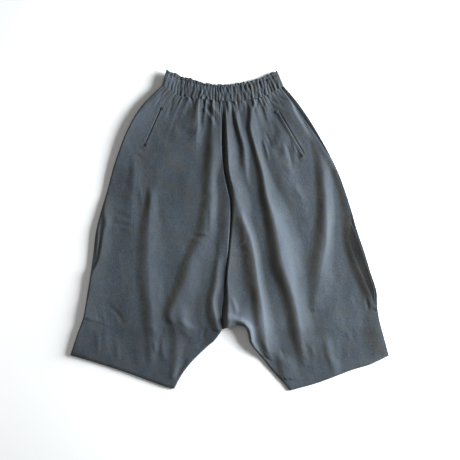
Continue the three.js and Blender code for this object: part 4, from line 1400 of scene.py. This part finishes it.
class HaremPantsSettings(bpy.types.PropertyGroup):
    """Sizes and colours that a user would change."""

    cloth_thickness: FloatProperty(
        name="Cloth thickness", description="Thickness of every panel",
        default=0.0013, min=0.0005, max=0.002, unit="LENGTH",
    )
    fold_scale: FloatProperty(
        name="Fold height", description="Height of the folds, as a share of the measured one",
        default=0.75, min=0.0, max=1.3, subtype="FACTOR",
    )
    crease_scale: FloatProperty(
        name="Crease height", description="Height of the short creases and fine gathers",
        default=1.0, min=0.0, max=1.5, subtype="FACTOR",
    )
    thread_pitch: FloatProperty(
        name="Thread pitch", description="Distance between neighbouring threads of the weave",
        default=0.0007, min=0.0003, max=0.002, unit="LENGTH",
    )
    thread_radius: FloatProperty(
        name="Sewing thread radius", description="Radius of the sewing thread",
        default=0.0003, min=0.0001, max=0.0006, unit="LENGTH",
    )
    stitch_length: FloatProperty(
        name="Stitch length", description="Length of one stitch and its gap",
        default=0.003, min=0.0015, max=0.006, unit="LENGTH",
    )
    cloth_colour: FloatVectorProperty(
        name="Cloth colour", description="Base colour of the cotton",
        default=(0.0281, 0.0374, 0.0481), min=0, max=1, subtype="COLOR",
    )
    cloth_roughness: FloatProperty(
        name="Cloth roughness", description="Roughness of the cotton",
        default=0.85, min=0, max=1, subtype="FACTOR",
    )
    sheen: FloatProperty(
        name="Sheen", description="Weight of the cotton's soft sheen",
        default=0.06, min=0, max=1, subtype="FACTOR",
    )
    key_power: FloatProperty(
        name="Key light power", description="Power of the light from the right",
        default=268.0, min=0, unit="POWER",
    )
    key_size: FloatProperty(
        name="Key light size", description="Width of the light from the right",
        default=1.20, min=0.05, unit="LENGTH",
    )
    left_power: FloatProperty(
        name="Left fill power", description="Power of the weak warm light from the left",
        default=6.0, min=0, unit="POWER",
    )
    top_power: FloatProperty(
        name="Top light power", description="Power of the light overhead",
        default=4.5, min=0, unit="POWER",
    )
    fill_strength: FloatProperty(
        name="Fill strength", description="Strength of the light from all round",
        default=0.1, min=0,
    )


class HAREM_OT_stage(bpy.types.Operator):
    """Make the floor, the lights and the camera"""

    bl_idname = "harem.stage"
    bl_label = "Stage"

    def execute(self, context):
        make_stage(context)
        return {"FINISHED"}


class HAREM_OT_back_panels(bpy.types.Operator):
    """Make the two back panels"""

    bl_idname = "harem.back_panels"
    bl_label = "Back panels"

    def execute(self, context):
        for leg in LEGS:
            make_back(context, leg)
        return {"FINISHED"}


class HAREM_OT_side_pleats(bpy.types.Operator):
    """Make the folded layer beside each side seam"""

    bl_idname = "harem.side_pleats"
    bl_label = "Side pleats"

    def execute(self, context):
        for leg in LEGS:
            make_pleat(context, leg)
        return {"FINISHED"}


class HAREM_OT_front_panels(bpy.types.Operator):
    """Make the two front panels with their folds, gathers and creases"""

    bl_idname = "harem.front_panels"
    bl_label = "Front panels"

    def execute(self, context):
        for leg in LEGS:
            make_front(context, leg)
        return {"FINISHED"}


class HAREM_OT_waistband(bpy.types.Operator):
    """Make the gathered waistband, front and back"""

    bl_idname = "harem.waistband"
    bl_label = "Waistband"

    def execute(self, context):
        make_band_back(context)
        make_band_front(context)
        return {"FINISHED"}


class HAREM_OT_pocket_welts(bpy.types.Operator):
    """Make the welt of each pocket"""

    bl_idname = "harem.pocket_welts"
    bl_label = "Pocket welts"

    def execute(self, context):
        for leg in LEGS:
            make_welt(context, leg)
        return {"FINISHED"}


class HAREM_OT_stitching(bpy.types.Operator):
    """Make all the stitches that show"""

    bl_idname = "harem.stitching"
    bl_label = "Stitching"

    def execute(self, context):
        make_stitching(context)
        return {"FINISHED"}


class HAREM_PT_pants(bpy.types.Panel):
    """Lists the sizes and the steps"""

    bl_idname = "HAREM_PT_pants"
    bl_label = "Harem Pants"
    bl_space_type = "VIEW_3D"
    bl_region_type = "UI"
    bl_category = "Harem Pants"

    def draw(self, context):
        own = settings(context)
        for name in HaremPantsSettings.__annotations__:
            self.layout.prop(own, name)
        for operator in STEPS:
            self.layout.operator(operator.bl_idname)


STEPS = (
    HAREM_OT_stage,
    HAREM_OT_back_panels,
    HAREM_OT_side_pleats,
    HAREM_OT_front_panels,
    HAREM_OT_waistband,
    HAREM_OT_pocket_welts,
    HAREM_OT_stitching,
)
CLASSES = (HaremPantsSettings, *STEPS, HAREM_PT_pants)


def register():
    """Registers the classes and the settings."""
    for cls in CLASSES:
        bpy.utils.register_class(cls)
    bpy.types.Scene.harem_pants = bpy.props.PointerProperty(type=HaremPantsSettings)


def unregister():
    """Takes the settings and the classes away again."""
    del bpy.types.Scene.harem_pants
    for cls in reversed(CLASSES):
        bpy.utils.unregister_class(cls)


def main():
    """Makes every piece in order."""
    register()
    bpy.ops.harem.stage()
    bpy.ops.harem.back_panels()
    bpy.ops.harem.side_pleats()
    bpy.ops.harem.front_panels()
    bpy.ops.harem.waistband()
    bpy.ops.harem.pocket_welts()
    bpy.ops.harem.stitching()


if __name__ == "__main__":
    main()
